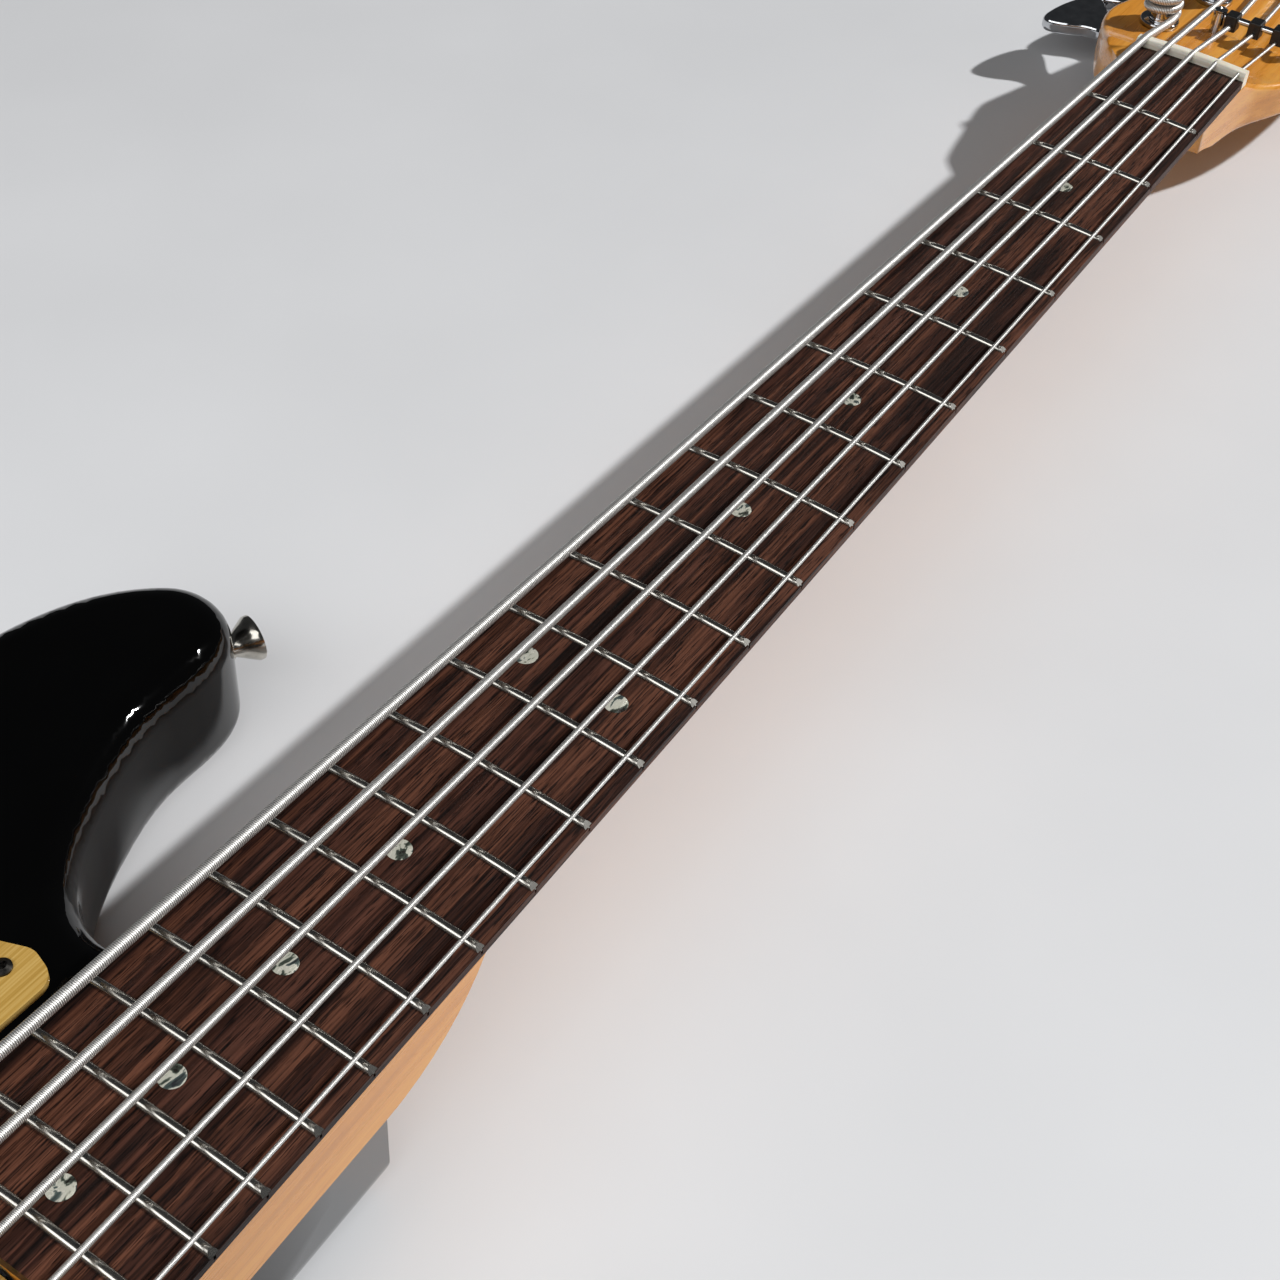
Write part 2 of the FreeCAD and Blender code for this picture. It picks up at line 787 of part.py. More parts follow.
def slot_bend(index):
    """Radius and turn of the bend that leads the winding into the slot of its post."""
    radius = winding_radius(index)
    bend = bend_share * radius
    turn = math.acos(-bend / (radius - bend))
    return bend, turn


def slot_heading(index):
    """Direction of the slot and the angle where the string leaves the winding for it."""
    route, heading = string_route(index)
    last = winding_point(index, heading - math.pi / 2, winding_turns(index))[2]
    bend, turn = slot_bend(index)
    return last + turn + math.pi / 2, last


def string_edges(index):
    route, heading = string_route(index)
    foot_angle = heading - math.pi / 2
    foot, foot_way, foot_turn = winding_point(index, foot_angle, 0)
    level_way = V(math.cos(heading), math.sin(heading), 0)
    lead = foot - level_way * size("winding_lead")
    edges = corner_edges(route + [lead], size("string_corner"))
    edges += biarc_edges(lead, (lead - route[-1]).normalize(), foot, foot_way)
    quarters = round(4 * winding_turns(index))
    for quarter in range(quarters):
        here, here_way, angle = winding_point(index, foot_angle, quarter / 4)
        there, there_way, angle = winding_point(index, foot_angle, (quarter + 1) / 4)
        edges += biarc_edges(here, here_way, there, there_way)
    bend, turn = slot_bend(index)
    centre = post_place(index)
    centre += V(math.cos(angle), math.sin(angle), 0) * (winding_radius(index) - bend)
    end_height = there.z + there_way.z * bend
    finish = centre + V(bend * math.cos(angle + turn), bend * math.sin(angle + turn), end_height)
    way = V(-math.sin(angle + turn), math.cos(angle + turn), 0)
    half_way = centre + V(bend * math.cos(angle + turn / 2), bend * math.sin(angle + turn / 2), end_height)
    half_heading = V(-math.sin(angle + turn / 2), math.cos(angle + turn / 2), 0)
    edges += biarc_edges(there, there_way, half_way, half_heading)
    late = angle + 3 * turn / 4
    past_half = centre + V(bend * math.cos(late), bend * math.sin(late), end_height)
    edges.append(Part.Arc(half_way, past_half, finish).toShape())
    edges.append(Part.LineSegment(finish, finish + way * 2 * string_radius(index)).toShape())
    return edges


def tube(edges, radius):
    """A round tube along tangent edges."""
    path = Part.Wire(edges)
    first = edges[0]
    start = first.valueAt(first.FirstParameter)
    way = first.tangentAt(first.FirstParameter)
    ring = Part.Wire(Part.makeCircle(radius, start, way))
    return path.makePipeShell([ring], True, False)


def route_slot(index, clearance):
    """The space that the straight part of a string needs, with a clearance round it."""
    route, heading = string_route(index)
    foot = winding_point(index, heading - math.pi / 2, 0)[0]
    lead = foot - V(math.cos(heading), math.sin(heading), 0) * size("winding_lead")
    return tube(corner_edges(route + [lead], size("string_corner")), string_radius(index) + clearance)


def least_gap(edges, radius):
    """Least clear distance between stretches of a tube more than a bend apart."""
    points = []
    travel = []
    walked = 0
    for edge in edges:
        steps = max(4, int(edge.Length / radius))
        for point in edge.discretize(steps)[:-1]:
            points.append(point)
            travel.append(walked)
            walked += edge.Length / (steps - 1)
    apart = 2 * math.pi * radius
    least = walked
    for i, point in enumerate(points):
        for j in range(i + 1, len(points)):
            if travel[j] - travel[i] > apart:
                least = min(least, point.distanceToPoint(points[j]))
    return least - 2 * radius


string_wires = [string_edges(index) for index in STRINGS]
for index, name in enumerate(STRING_NAMES):
    radius = string_radius(index)
    edges = string_wires[index]
    string = tube(edges, radius)
    length = sum(edge.Length for edge in edges)
    print("string", name, "turns", winding_turns(index), "gap %.2f" % least_gap(edges[-60:], radius),
          "volume share %.4f" % (string.Volume / (math.pi * radius ** 2 * length)))
    ball_x = flange_back - size("part_gap") - size("ball_diameter") / 2
    ball_y = saddle_y(index) - size("ball_width") / 2
    ball_base = V(ball_x, ball_y, flange_string)
    ball = Part.makeCylinder(size("ball_diameter") / 2, size("ball_width"), ball_base, ACROSS)
    node("string_" + name, shaped("string_" + name, Part.makeCompound([string, ball])))

# Truss rod with its nut at the heel, in a channel under the fingerboard
rod_start = heel_x + size("rod_nut_length")
rod = solid(
    "Part::Box", "truss_bar", V(rod_start, -size("rod_width") / 2, board_bottom - size("rod_depth")),
    Length="Sizes.scale_length * (1 - 2 ^ (-%d / 12)) + Sizes.board_past_fret"
    " - Sizes.rod_nut_length - Sizes.rod_end_gap" % FRET_COUNT,
    Width="Sizes.rod_width", Height="Sizes.rod_depth")
rod_axis = V(heel_x, 0, board_bottom - size("rod_depth") / 2)
rod_nut_blank = solid(
    "Part::Cylinder", "truss_nut_blank", rod_axis, towards_head,
    Radius="Sizes.rod_nut_diameter / 2", Height="Sizes.rod_nut_length")
rod_nut_socket = solid(
    "Part::Prism", "truss_nut_socket", rod_axis, towards_head,
    Circumradius="Sizes.rod_nut_bore / 2", Height="Sizes.rod_nut_length / 2")
rod_nut = cut("truss_nut", rod_nut_blank, rod_nut_socket)
node("truss_rod", group("truss_rod", [rod, rod_nut]))

# Neck screws, pulled up through recessed ferrules in the back
pocket_middle = (heel_x + lip_bass_x) / 2
neck_screw_places = [
    V(pocket_middle + i * size("neck_screw_spacing_x") / 2, j * size("neck_screw_spacing_y") / 2, 0)
    for i in (-1, 1) for j in (-1, 1)]
ferrule_seat = size("ferrule_height") - size("ferrule_floor")
neck_screws = []
ferrules = []
ferrule_holes = []
neck_screw_holes = []
neck_screw_body = named_screw("neck_screw")
for place in neck_screw_places:
    seat = place + V(0, 0, ferrule_seat)
    neck_screws.append(placed(neck_screw_body, seat, upside_down))
    hole = screw_hole("neck_screw", seat, upside_down)
    neck_screw_holes.append(hole)
    cup = Part.makeCylinder(size("ferrule_diameter") / 2, size("ferrule_height"), place)
    below = place - V(0, 0, overrun)
    well = Part.makeCylinder(size("neck_screw_head") / 2 + size("part_gap"), ferrule_seat + overrun, below)
    ferrules.append(cup.cut([well, hole]))
    width = size("ferrule_diameter") / 2 + size("screw_clearance")
    ferrule_holes.append(Part.makeCylinder(width, size("ferrule_height") + overrun, below))
node("neck_screws", shaped("neck_screws", Part.makeCompound(neck_screws)))
node("neck_ferrules", shaped("neck_ferrules", Part.makeCompound(ferrules)))

# The neck with its rod channel, tuner holes and screw holes
channel_gap = size("screw_clearance")
channel_x = heel_x - overrun
channel_end = scale - size("rod_end_gap") + channel_gap
channel = Part.makeBox(
    channel_end - rod_start, size("rod_width") + 2 * channel_gap, size("rod_depth") + channel_gap + overrun,
    V(rod_start, -size("rod_width") / 2 - channel_gap, board_bottom - size("rod_depth") - channel_gap))
rod_nut_bore = Part.makeCylinder(
    size("rod_nut_diameter") / 2 + channel_gap, rod_start - channel_x,
    V(channel_x, 0, rod_axis.z), ALONG)
crossings = {name: string_route(STRING_NAMES.index(name))[0][-1] for name in RETAINED_STRINGS}
near_end = crossings[RETAINED_STRINGS[0]].y + size("retainer_near_gap")
far_end = crossings[RETAINED_STRINGS[-1]].y - size("retainer_far_gap")
retainer_ends = [V(retainer_x, y, head_face) for y in (near_end, far_end)]
foot_top = head_face + size("retainer_foot_height")
retainer_screw_places = [V(end.x, end.y, foot_top) for end in retainer_ends]
neck_cuts = [channel, rod_nut_bore] + neck_screw_holes + tuner_holes()
neck_cuts += [screw_hole("small_screw", place) for place in retainer_screw_places]
node("neck", shaped("neck", neck_blank().cut(neck_cuts)))

# Fingerboard: a tapered board with an arched top, slots for the frets and holes for the dots
board_axis = board_top - size("board_radius")


def board_corners(widening=0.0):
    near = heel_x
    return [
        (near, -neck_half(near) - widening), (scale, -neck_half(scale) - widening),
        (scale, neck_half(scale) + widening), (near, neck_half(near) + widening),
    ]


def arch_solid(radius):
    start = V(heel_x - overrun, 0, board_axis)
    return Part.makeCylinder(radius, neck_length + 2 * overrun, start, ALONG)


arch = arch_solid(size("board_radius"))
board_blank = prism(board_corners(), board_bottom, board_top + overrun).common(arch)
fret_slots = []
slot_gap = size("running_clearance")
for number in range(1, FRET_COUNT + 1):
    x = fret_reach(number)
    slot_width = size("tang_width") + 2 * slot_gap
    slot_top = size("board_radius") - size("tang_depth") - slot_gap
    start = V(x - slot_width / 2, 0, board_axis)
    ring = Part.makeCylinder(size("board_radius") + overrun, slot_width, start, ALONG)
    core = Part.makeCylinder(slot_top, slot_width, start, ALONG)
    window = prism(board_corners(overrun), board_bottom - overrun, board_top + overrun)
    fret_slots.append(ring.common(window).cut(core))


def dot_places():
    """Middles of the dots on the face, two of them at the octave."""
    places = []
    for number in DOT_FRETS:
        x = (fret_reach(number) + fret_reach(number - 1)) / 2
        sides = (-1, 1) if number == DOUBLE_DOT_FRET else (0,)
        places += [V(x, side * size("double_dot_offset"), 0) for side in sides]
    return places


def dot_rods(radius, low):
    height = board_top + overrun - low
    return [Part.makeCylinder(radius, height, place + V(0, 0, low)) for place in dot_places()]


def side_dot_rods(radius, depth):
    """Short rods let into the low-string edge of the board."""
    rods = []
    level = board_bottom + size("board_thickness") / 3
    for number in DOT_FRETS:
        x = (fret_reach(number) + fret_reach(number - 1)) / 2
        shifts = (-1, 1) if number == DOUBLE_DOT_FRET else (0,)
        for shift in shifts:
            along = x + shift * 2 * size("side_dot_diameter")
            base = V(along, neck_half(along) - depth, level)
            rods.append(Part.makeCylinder(radius, depth + overrun, base, ACROSS))
    return rods


dot_floor = board_top - size("dot_depth")
dot_gap = size("screw_clearance")
dot_holes = dot_rods(size("dot_diameter") / 2 + dot_gap, dot_floor - dot_gap)
side_holes = side_dot_rods(size("side_dot_diameter") / 2 + dot_gap, size("side_dot_depth") + dot_gap)
node("fingerboard", shaped("fingerboard", board_blank.cut(fret_slots + dot_holes + side_holes)))
dots = [rod.common(arch) for rod in dot_rods(size("dot_diameter") / 2, dot_floor)]
node("position_dots", shaped("position_dots", Part.makeCompound(dots)))
edge_block = prism(board_corners(), board_bottom, board_top)
side_rods = side_dot_rods(size("side_dot_diameter") / 2, size("side_dot_depth"))
side_dots = [rod.common(edge_block) for rod in side_rods]
node("side_dots", shaped("side_dots", Part.makeCompound(side_dots)))


# Frets: a rounded crown on a thin tang, bent to the arch, its ends bevelled
def fret_blank(x):
    radius = size("board_radius")
    half = size("fret_width") / 2
    base = board_axis + radius
    tang = size("tang_width") / 2
    low = base - size("tang_depth")
    crown = Part.Arc(V(x - half, 0, base), V(x, 0, base + size("fret_height")), V(x + half, 0, base))
    corners = [
        V(x + half, 0, base), V(x + tang, 0, base), V(x + tang, 0, low),
        V(x - tang, 0, low), V(x - tang, 0, base), V(x - half, 0, base),
    ]
    sides = [Part.LineSegment(a, b).toShape() for a, b in zip(corners, corners[1:])]
    face = Part.Face(Part.Wire([crown.toShape()] + sides))
    angle = math.degrees(math.asin(neck_half(x) / radius)) + 1
    face.rotate(V(0, 0, board_axis), ALONG, -angle)
    return face.revolve(V(0, 0, board_axis), ALONG, 2 * angle)


def fret_trim():
    """A long wedge-sided block that bevels every fret to the edges of the board."""
    low = board_bottom
    shoulder = board_top - arch_drop(neck_half(heel_x), size("board_radius"))
    tip = crown_top + overrun
    lean = size("fret_end_bevel") / size("fret_height")
    straight = prism(board_corners(), low, shoulder)
    levels = [(shoulder, 0.0), (tip, -lean * (tip - shoulder))]
    wires = []
    for level, widening in levels:
        corners = [V(x, y, level) for x, y in board_corners(widening)]
        wires.append(Part.makePolygon(corners + corners[:1]))
    return straight.fuse(Part.makeLoft(wires, True, True))


trim = fret_trim()
frets = [fret_blank(fret_reach(number)).common(trim) for number in range(1, FRET_COUNT + 1)]
node("frets", shaped("frets", Part.makeCompound(frets)))

# Bone nut across the end of the board, slotted for the strings
nut_box = prism(
    [(scale, -neck_half(scale)), (scale + size("nut_thickness"), -neck_half(scale)),
     (scale + size("nut_thickness"), neck_half(scale)), (scale, neck_half(scale))],
    board_bottom, board_bottom + size("nut_height"))


def nut_arch():
    """A round-shouldered bar bent to the curve of the board."""
    crest = board_axis + size("board_radius") + board_bottom + size("nut_height") - board_top
    curve = size("nut_round")
    shoulder = crest - curve
    near = scale
    far = scale + size("nut_thickness")
    half_way = curve * (1 - math.sqrt(2) / 2)
    near_bend = V(near + half_way, 0, crest - half_way)
    far_bend = V(far - half_way, 0, crest - half_way)
    places = [
        V(near, 0, heel_bottom), V(near, 0, shoulder), V(near + curve, 0, crest),
        V(far - curve, 0, crest), V(far, 0, shoulder), V(far, 0, heel_bottom),
    ]
    edges = [
        Part.LineSegment(places[0], places[1]),
        Part.Arc(places[1], near_bend, places[2]),
        Part.LineSegment(places[2], places[3]),
        Part.Arc(places[3], far_bend, places[4]),
        Part.LineSegment(places[4], places[5]),
        Part.LineSegment(places[5], places[0]),
    ]
    face = Part.Face(Part.Wire([edge.toShape() for edge in edges]))
    angle = math.degrees(math.asin(neck_half(scale) / size("board_radius"))) + 1
    face.rotate(V(0, 0, board_axis), ALONG, -angle)
    return face.revolve(V(0, 0, board_axis), ALONG, 2 * angle)


nut_slots = [route_slot(index, size("screw_clearance")) for index in STRINGS]
node("nut", shaped("nut", nut_box.cut(nut_slots).common(nut_arch())))


# Tuners: bushing, post with its worm wheel, housing, and key with its worm
def bushing():
    rise = size("bushing_flange_height")
    flange = Part.makeCylinder(size("bushing_flange") / 2, rise, V(0, 0, head_face))
    barrel = Part.makeCylinder(size("bushing_barrel") / 2, size("head_thickness"), V(0, 0, heel_bottom))
    bore_radius = size("post_diameter") / 2 + size("running_clearance")
    depth = size("head_thickness") + rise + 2 * overrun
    bore = Part.makeCylinder(bore_radius, depth, V(0, 0, heel_bottom - overrun))
    rim = [e for e in flange.Edges if edge_at(head_face + rise)(e)]
    flange = flange.makeFillet(rise / 3, rim)
    return flange.fuse(barrel).cut(bore).removeSplitter()


cap_top_share = 0.8


def post(index):
    """Shaft, waist for the winding, flared cap, and a slot that leads the string to the middle."""
    shaft = size("post_diameter") / 2
    waist = size("post_waist") / 2
    cap = size("post_cap") / 2
    foot = heel_bottom - size("housing_height") + size("housing_wall") + size("part_gap")
    shoulder = head_face + size("bushing_flange_height")
    neck_top = shoulder + size("post_neck_length") / 2
    slot_mid = winding_foot + size("winding_height")
    crown = slot_mid + size("post_above_slot")
    profile = [
        V(0, 0, foot), V(shaft, 0, foot), V(shaft, 0, shoulder), V(waist, 0, neck_top),
        V(waist, 0, slot_mid), V(cap, 0, crown - cap / 4), V(cap * cap_top_share, 0, crown), V(0, 0, crown)]
    blank = Part.Face(Part.makePolygon(profile + profile[:1])).revolve(V(), V(0, 0, 1), 360)
    heading, last = slot_heading(index)
    room = string_radius(index) + size("part_gap")
    floor = slot_mid - room
    height = crown - floor + overrun
    bend, turn = slot_bend(index)
    slot = Part.makeBox(2 * cap, 2 * room, height, V(-cap, -room, floor))
    slot.rotate(V(), V(0, 0, 1), math.degrees(heading))
    centre = V(math.cos(last), math.sin(last), 0) * (winding_radius(index) - bend) + V(0, 0, floor)
    mouth = Part.makeCylinder(bend + room, height, centre, V(0, 0, 1), math.degrees(turn))
    mouth.rotate(centre, V(0, 0, 1), math.degrees(last))
    wheel_low = worm_height - size("wheel_width") / 2
    wheel = Part.makeCylinder(size("wheel_diameter") / 2, size("wheel_width"), V(0, 0, wheel_low))
    wheel = wheel.cut(Part.makeCylinder(shaft, size("wheel_width"), V(0, 0, wheel_low)))
    slotted = max(blank.cut([slot, mouth]).Solids, key=lambda piece: piece.Volume)
    return Part.makeCompound([slotted, wheel])


def housing():
    """A cast cup over the worm and wheel, with an ear at each end for its screw."""
    low = heel_bottom - size("housing_height")
    length = size("housing_length")
    wall = size("housing_wall")
    height = size("housing_height")
    block = Part.makeBox(size("housing_width"), length, height, V(housing_left, -length / 2, low))
    outer = [e for e in block.Edges if along_z(e) or edge_at(low)(e)]
    block = block.makeFillet(size("housing_round"), outer)
    ear = size("ear_length")
    ear_width = 2 * ear
    ear_corner = V(worm_offset / 2 - ear_width / 2, -length / 2 - ear, ear_top)
    ears = Part.makeBox(ear_width, length + 2 * ear, size("ear_thickness"), ear_corner)
    ears = ears.makeFillet(ear / 2, [e for e in ears.Edges if along_z(e)])
    room_corner = V(housing_left + wall, -length / 2 + wall, low + wall)
    room = Part.makeBox(size("housing_width") - 2 * wall, length - 2 * wall, height, room_corner)
    bearing = size("key_shaft_diameter") / 2 + size("running_clearance")
    hole_start = V(worm_offset, -length / 2 + wall / 2, worm_height)
    hole = Part.makeCylinder(bearing, length + overrun, hole_start, ACROSS)
    holes = [screw_hole("tuner_screw", place, upside_down) for place in ear_places]
    return block.fuse(ears).cut([room, hole] + holes).removeSplitter()


key_crest_share = 1.05
key_outline_shares = [(0.0, 0.17), (0.22, 0.20), (0.55, 0.40), (0.86, 0.50), (1.0, 0.36)]


def key():
    """Worm and shaft in one, with a flared thumb key on its outer end."""
    wall = size("housing_wall")
    inside = size("housing_length") / 2 - wall
    shaft_start = -inside - wall / 2 + size("part_gap")
    stem_start = size("housing_length") / 2 + size("part_gap")
    axis = V(worm_offset, 0, worm_height)
    shaft_foot = axis + ACROSS * shaft_start
    shaft = Part.makeCylinder(size("key_shaft_diameter") / 2, stem_start - shaft_start, shaft_foot, ACROSS)
    worm_foot = axis - ACROSS * size("worm_length") / 2
    worm = Part.makeCylinder(size("worm_diameter") / 2, size("worm_length"), worm_foot, ACROSS)
    stem_foot = axis + ACROSS * stem_start
    stem = Part.makeCylinder(size("key_stem_diameter") / 2, size("key_stem_length"), stem_foot, ACROSS)
    base = axis + ACROSS * (stem_start + size("key_stem_length"))
    corners = [(w * size("key_width"), s * size("key_length")) for s, w in key_outline_shares]
    right = [base + V(x, y, 0) for x, y in corners]
    left = [base + V(-x, y, 0) for x, y in reversed(corners)]
    right_curve = Part.BSplineCurve()
    right_curve.interpolate(right)
    left_curve = Part.BSplineCurve()
    left_curve.interpolate(left)
    crest = base + ACROSS * size("key_length") * key_crest_share
    edges = [
        Part.LineSegment(left[-1], right[0]).toShape(), right_curve.toShape(),
        Part.Arc(right[-1], crest, left[0]).toShape(), left_curve.toShape(),
    ]
    face = Part.Face(Part.Wire(edges))
    face.translate(V(0, 0, -size("key_thickness") / 2))
    paddle = face.extrude(V(0, 0, size("key_thickness")))
    flat_edges = [e for e in paddle.Edges if not along_z(e)]
    outer = [e for e in flat_edges if e.BoundBox.YMax > base.y + overrun]
    paddle = paddle.makeFillet(size("key_round"), outer)
    return shaft.fuse([worm, stem, paddle]).removeSplitter()


bushing_body = bushing()
housing_body = housing()
key_body = key()
key_angles = [-48, 20, -15, 65, 5]
tuner_screw_body = named_screw("tuner_screw")
bushings = []
housings = []
tuner_screws = []
for index, name in enumerate(STRING_NAMES):
    place = post_place(index)
    bushings.append(placed(bushing_body, place))
    housings.append(placed(housing_body, place, tuner_turn))
    for ear in ear_places:
        ear_place = place + tuner_turn.multVec(ear)
        tuner_screws.append(placed(tuner_screw_body, ear_place, tuner_turn * upside_down))
    node("tuner_post_" + name, shaped("tuner_post_" + name, placed(post(index), place)))
    turned = key_body.copy()
    turned.rotate(V(worm_offset, 0, worm_height), ACROSS, key_angles[index])
    node("tuner_key_" + name, shaped("tuner_key_" + name, placed(turned, place, tuner_turn)))
node("tuner_bushings", shaped("tuner_bushings", Part.makeCompound(bushings)))
node("tuner_housings", shaped("tuner_housings", Part.makeCompound(housings)))
node("tuner_screws", shaped("tuner_screws", Part.makeCompound(tuner_screws)))

# String retainer: a rod on two feet, with a guide block over each of the thinner strings
rod_level = head_face + size("retainer_rod_height")
rod_span = retainer_ends[0].y - retainer_ends[1].y
retainer_rod = Part.makeCylinder(
    size("retainer_rod_diameter") / 2, rod_span, V(retainer_x, retainer_ends[1].y, rod_level), ACROSS)
foot_radius = size("retainer_foot_diameter") / 2
feet = [Part.makeCylinder(foot_radius, size("retainer_foot_height"), end) for end in retainer_ends]
foot_holes = [screw_hole("small_screw", place) for place in retainer_screw_places]
node("string_retainer", shaped("string_retainer", retainer_rod.fuse(feet).cut(foot_holes).removeSplitter()))
blocks = []
for name in RETAINED_STRINGS:
    index = STRING_NAMES.index(name)
    crossing = crossings[name]
    low = crossing.z - string_radius(index)
    block = Part.makeBox(
        size("block_length"), size("block_width"), size("block_height"),
        V(retainer_x - size("block_length") / 2, crossing.y - size("block_width") / 2, low))
    block = block.makeFillet(size("block_width") / 8, [e for e in block.Edges if not edge_at(low)(e)])
    rod_room = Part.makeCylinder(
        size("retainer_rod_diameter") / 2 + size("screw_clearance"), size("block_width") + 2 * overrun,
        V(retainer_x, crossing.y - size("block_width") / 2 - overrun, rod_level), ACROSS)
    blocks.append(block.cut([rod_room, route_slot(index, size("screw_clearance"))]))
node("retainer_blocks", shaped("retainer_blocks", Part.makeCompound(blocks)))

# Pickups: a moulded cover, a wound coil inside, and two poles for each string
pickup_top = top - size("pickup_depth") + size("pickup_height")
pickup_screw_body = named_screw("pickup_screw")
poles = []
pickup_screws = []
pickup_screw_holes = []
coils = []
pickup_routs = []


def pickup_string_y(index, x):
    share = x / scale
    spread = size("string_spread_bridge") * (1 - share) + size("string_spread_nut") * share
    return string_share(index) * spread


for name in ("neck_pickup", "bridge_pickup"):
    reach = size(name + "_reach")
    length = size(name + "_length")
    floor = top - size("pickup_depth")
    blank = solid(
        "Part::Box", name + "_blank", V(reach - size("pickup_width") / 2, -length / 2, floor),
        Length="Sizes.pickup_width", Width="Sizes.%s_length" % name, Height="Sizes.pickup_height")
    corners = rounded(name + "_corners", blank, size("pickup_corner"), along_z)
    soft = rounded(name + "_soft", corners, size("pickup_edge_round"), edge_at(pickup_top))
    inside = solid(
        "Part::Box", name + "_inside",
        V(reach - size("pickup_width") / 2 + size("pickup_wall"), -length / 2 + size("pickup_end"), floor),
        Length="Sizes.pickup_width - 2 * Sizes.pickup_wall",
        Width="Sizes.%s_length - 2 * Sizes.pickup_end" % name,
        Height="Sizes.pickup_height - Sizes.pickup_wall")
    pole_holes = []
    coil_holes = []
    for index in STRINGS:
        for side in (-1, 1):
            y = pickup_string_y(index, reach) + side * size("pole_pair_gap") / 2
            base = V(reach, y, pickup_top + size("pole_proud") - size("pole_length"))
            poles.append(Part.makeCylinder(size("pole_diameter") / 2, size("pole_length"), base))
            wide = size("pole_diameter") / 2 + size("screw_clearance")
            pole_holes.append(Part.makeCylinder(wide, size("pole_length") + overrun, base))
    screws = []
    for side in (-1, 1):
        seat = V(reach, side * (length - size("pickup_end")) / 2, pickup_top)
        pickup_screws.append(placed(pickup_screw_body, seat))
        screws.append(screw_hole("pickup_screw", seat))
    pickup_screw_holes += screws
    holes = shaped(name + "_holes", Part.makeCompound(pole_holes + screws))
    node(name + "_cover", cut(name + "_cover", cut(name + "_shell", soft, inside), holes))
    gap = size("coil_clearance")
    coil_low = pickup_top - size("pickup_wall") - gap - size("coil_height")
    coil_width = size("pickup_width") - 2 * (size("pickup_wall") + gap)
    coil_length = length - 2 * (size("pickup_end") + gap)
    coil_corner = V(reach - coil_width / 2, -coil_length / 2, coil_low)
    coil = Part.makeBox(coil_width, coil_length, size("coil_height") + gap, coil_corner)
    coil = coil.makeFillet(size("coil_corner"), [e for e in coil.Edges if along_z(e)])
    coils.append(coil.cut(pole_holes))
    clear = size("rout_clearance")
    rout = Part.makeBox(
        size("pickup_width") + 2 * clear, length + 2 * clear, size("pickup_depth") + overrun,
        V(reach - size("pickup_width") / 2 - clear, -length / 2 - clear, floor))
    pickup_routs.append(rout.makeFillet(size("pickup_corner"), [e for e in rout.Edges if along_z(e)]))
node("pickup_coils", shaped("pickup_coils", Part.makeCompound(coils)))
node("pole_pieces", shaped("pole_pieces", Part.makeCompound(poles)))
node("pickup_screws", shaped("pickup_screws", Part.makeCompound(pickup_screws)))

# Pickguard: a thin plate beside the neck and round the first pickup, in shares of its length
# from the horn, of its width to the bass side and of its width past the pickup to the treble side
guard_outline_shares = [
    (0.0, 0.445), (0.033, 0.593), (0.132, 0.76), (0.428, 1.0), (0.905, 0.9),
    (1.0, 0.4), (0.958, -0.75), (0.725, -1.0), (0.407, -0.89),
]
guard_screw_shares = [
    (0.039, 0.46), (0.164, 0.71), (0.428, 0.93), (0.852, 0.84), (0.95, 0.36),
    (0.915, -0.64), (0.587, -0.82), (0.428, -0.79), (0.339, 0.4),
]
guard_end = heel_x + size("guard_past_heel")


def guard_point(share):
    bass_side = size("body_width") / 2 - size("guard_side_inset")
    treble_side = size("neck_pickup_length") / 2 + size("guard_treble_rim")
    side = bass_side if share[1] > 0 else treble_side
    length = guard_end - size("neck_pickup_reach") + size("guard_past_pickup")
    return guard_end - share[0] * length, share[1] * side


def guard_corners():
    """Outline corners, with the three beside the neck taken from the neck itself."""
    end = heel_x - size("guard_end_gap")
    near = guard_end - size("guard_tip_setback")
    beside = (near, neck_half(near) + size("guard_side_gap"))
    inner = neck_half(heel_x) + size("guard_side_gap")
    return [beside] + [guard_point(share) for share in guard_outline_shares] + [(end, -inner), (end, inner)]


def guard_blank():
    corners = guard_corners()
    radii = 2 * [size("guard_tip_corner")] + (len(corners) - 2) * [size("guard_corner")]
    face = Part.Face(rounded_outline(corners, radii, top))
    plate = face.extrude(V(0, 0, size("guard_thickness")))
    low = top - overrun
    high = top + size("guard_thickness") + overrun
    clear = size("rout_clearance")
    window_width = size("pickup_width") + 2 * clear
    window_length = size("neck_pickup_length") + 2 * clear
    window_corner = V(size("neck_pickup_reach") - window_width / 2, -window_length / 2, low)
    window = Part.makeBox(window_width, window_length, high - low, window_corner)
    window = window.makeFillet(size("pickup_corner"), [e for e in window.Edges if along_z(e)])
    return plate.cut(window)


guard_top = top + size("guard_thickness")
guard_screw_places = [V(*guard_point(share), guard_top) for share in guard_screw_shares]
guard_screw_holes = [screw_hole("guard_screw", place) for place in guard_screw_places]
node("pickguard", shaped("pickguard", guard_blank().cut(guard_screw_holes)))
guard_screw_body = named_screw("guard_screw")
node("pickguard_screws", shaped("pickguard_screws", Part.makeCompound(
    [placed(guard_screw_body, place) for place in guard_screw_places])))

# Bridge: a plate with an upright flange that holds the ball ends and the intonation screws
base_plate = solid(
    "Part::Box", "bridge_base", V(flange_back, -size("bridge_width") / 2, top),
    Length="Sizes.bridge_length", Width="Sizes.bridge_width", Height="Sizes.bridge_base")
flange_plate = solid(
    "Part::Box", "bridge_flange", V(flange_back, -size("bridge_width") / 2, top),
    Length="Sizes.bridge_flange", Width="Sizes.bridge_width", Height="Sizes.bridge_flange_height")
bridge_blank = joined("bridge_blank", [base_plate, flange_plate])
bridge_front = flange_back + size("bridge_length")


def bridge_corner(edge):
    return along_z(edge) and edge.BoundBox.XMin > bridge_front - edge_tolerance


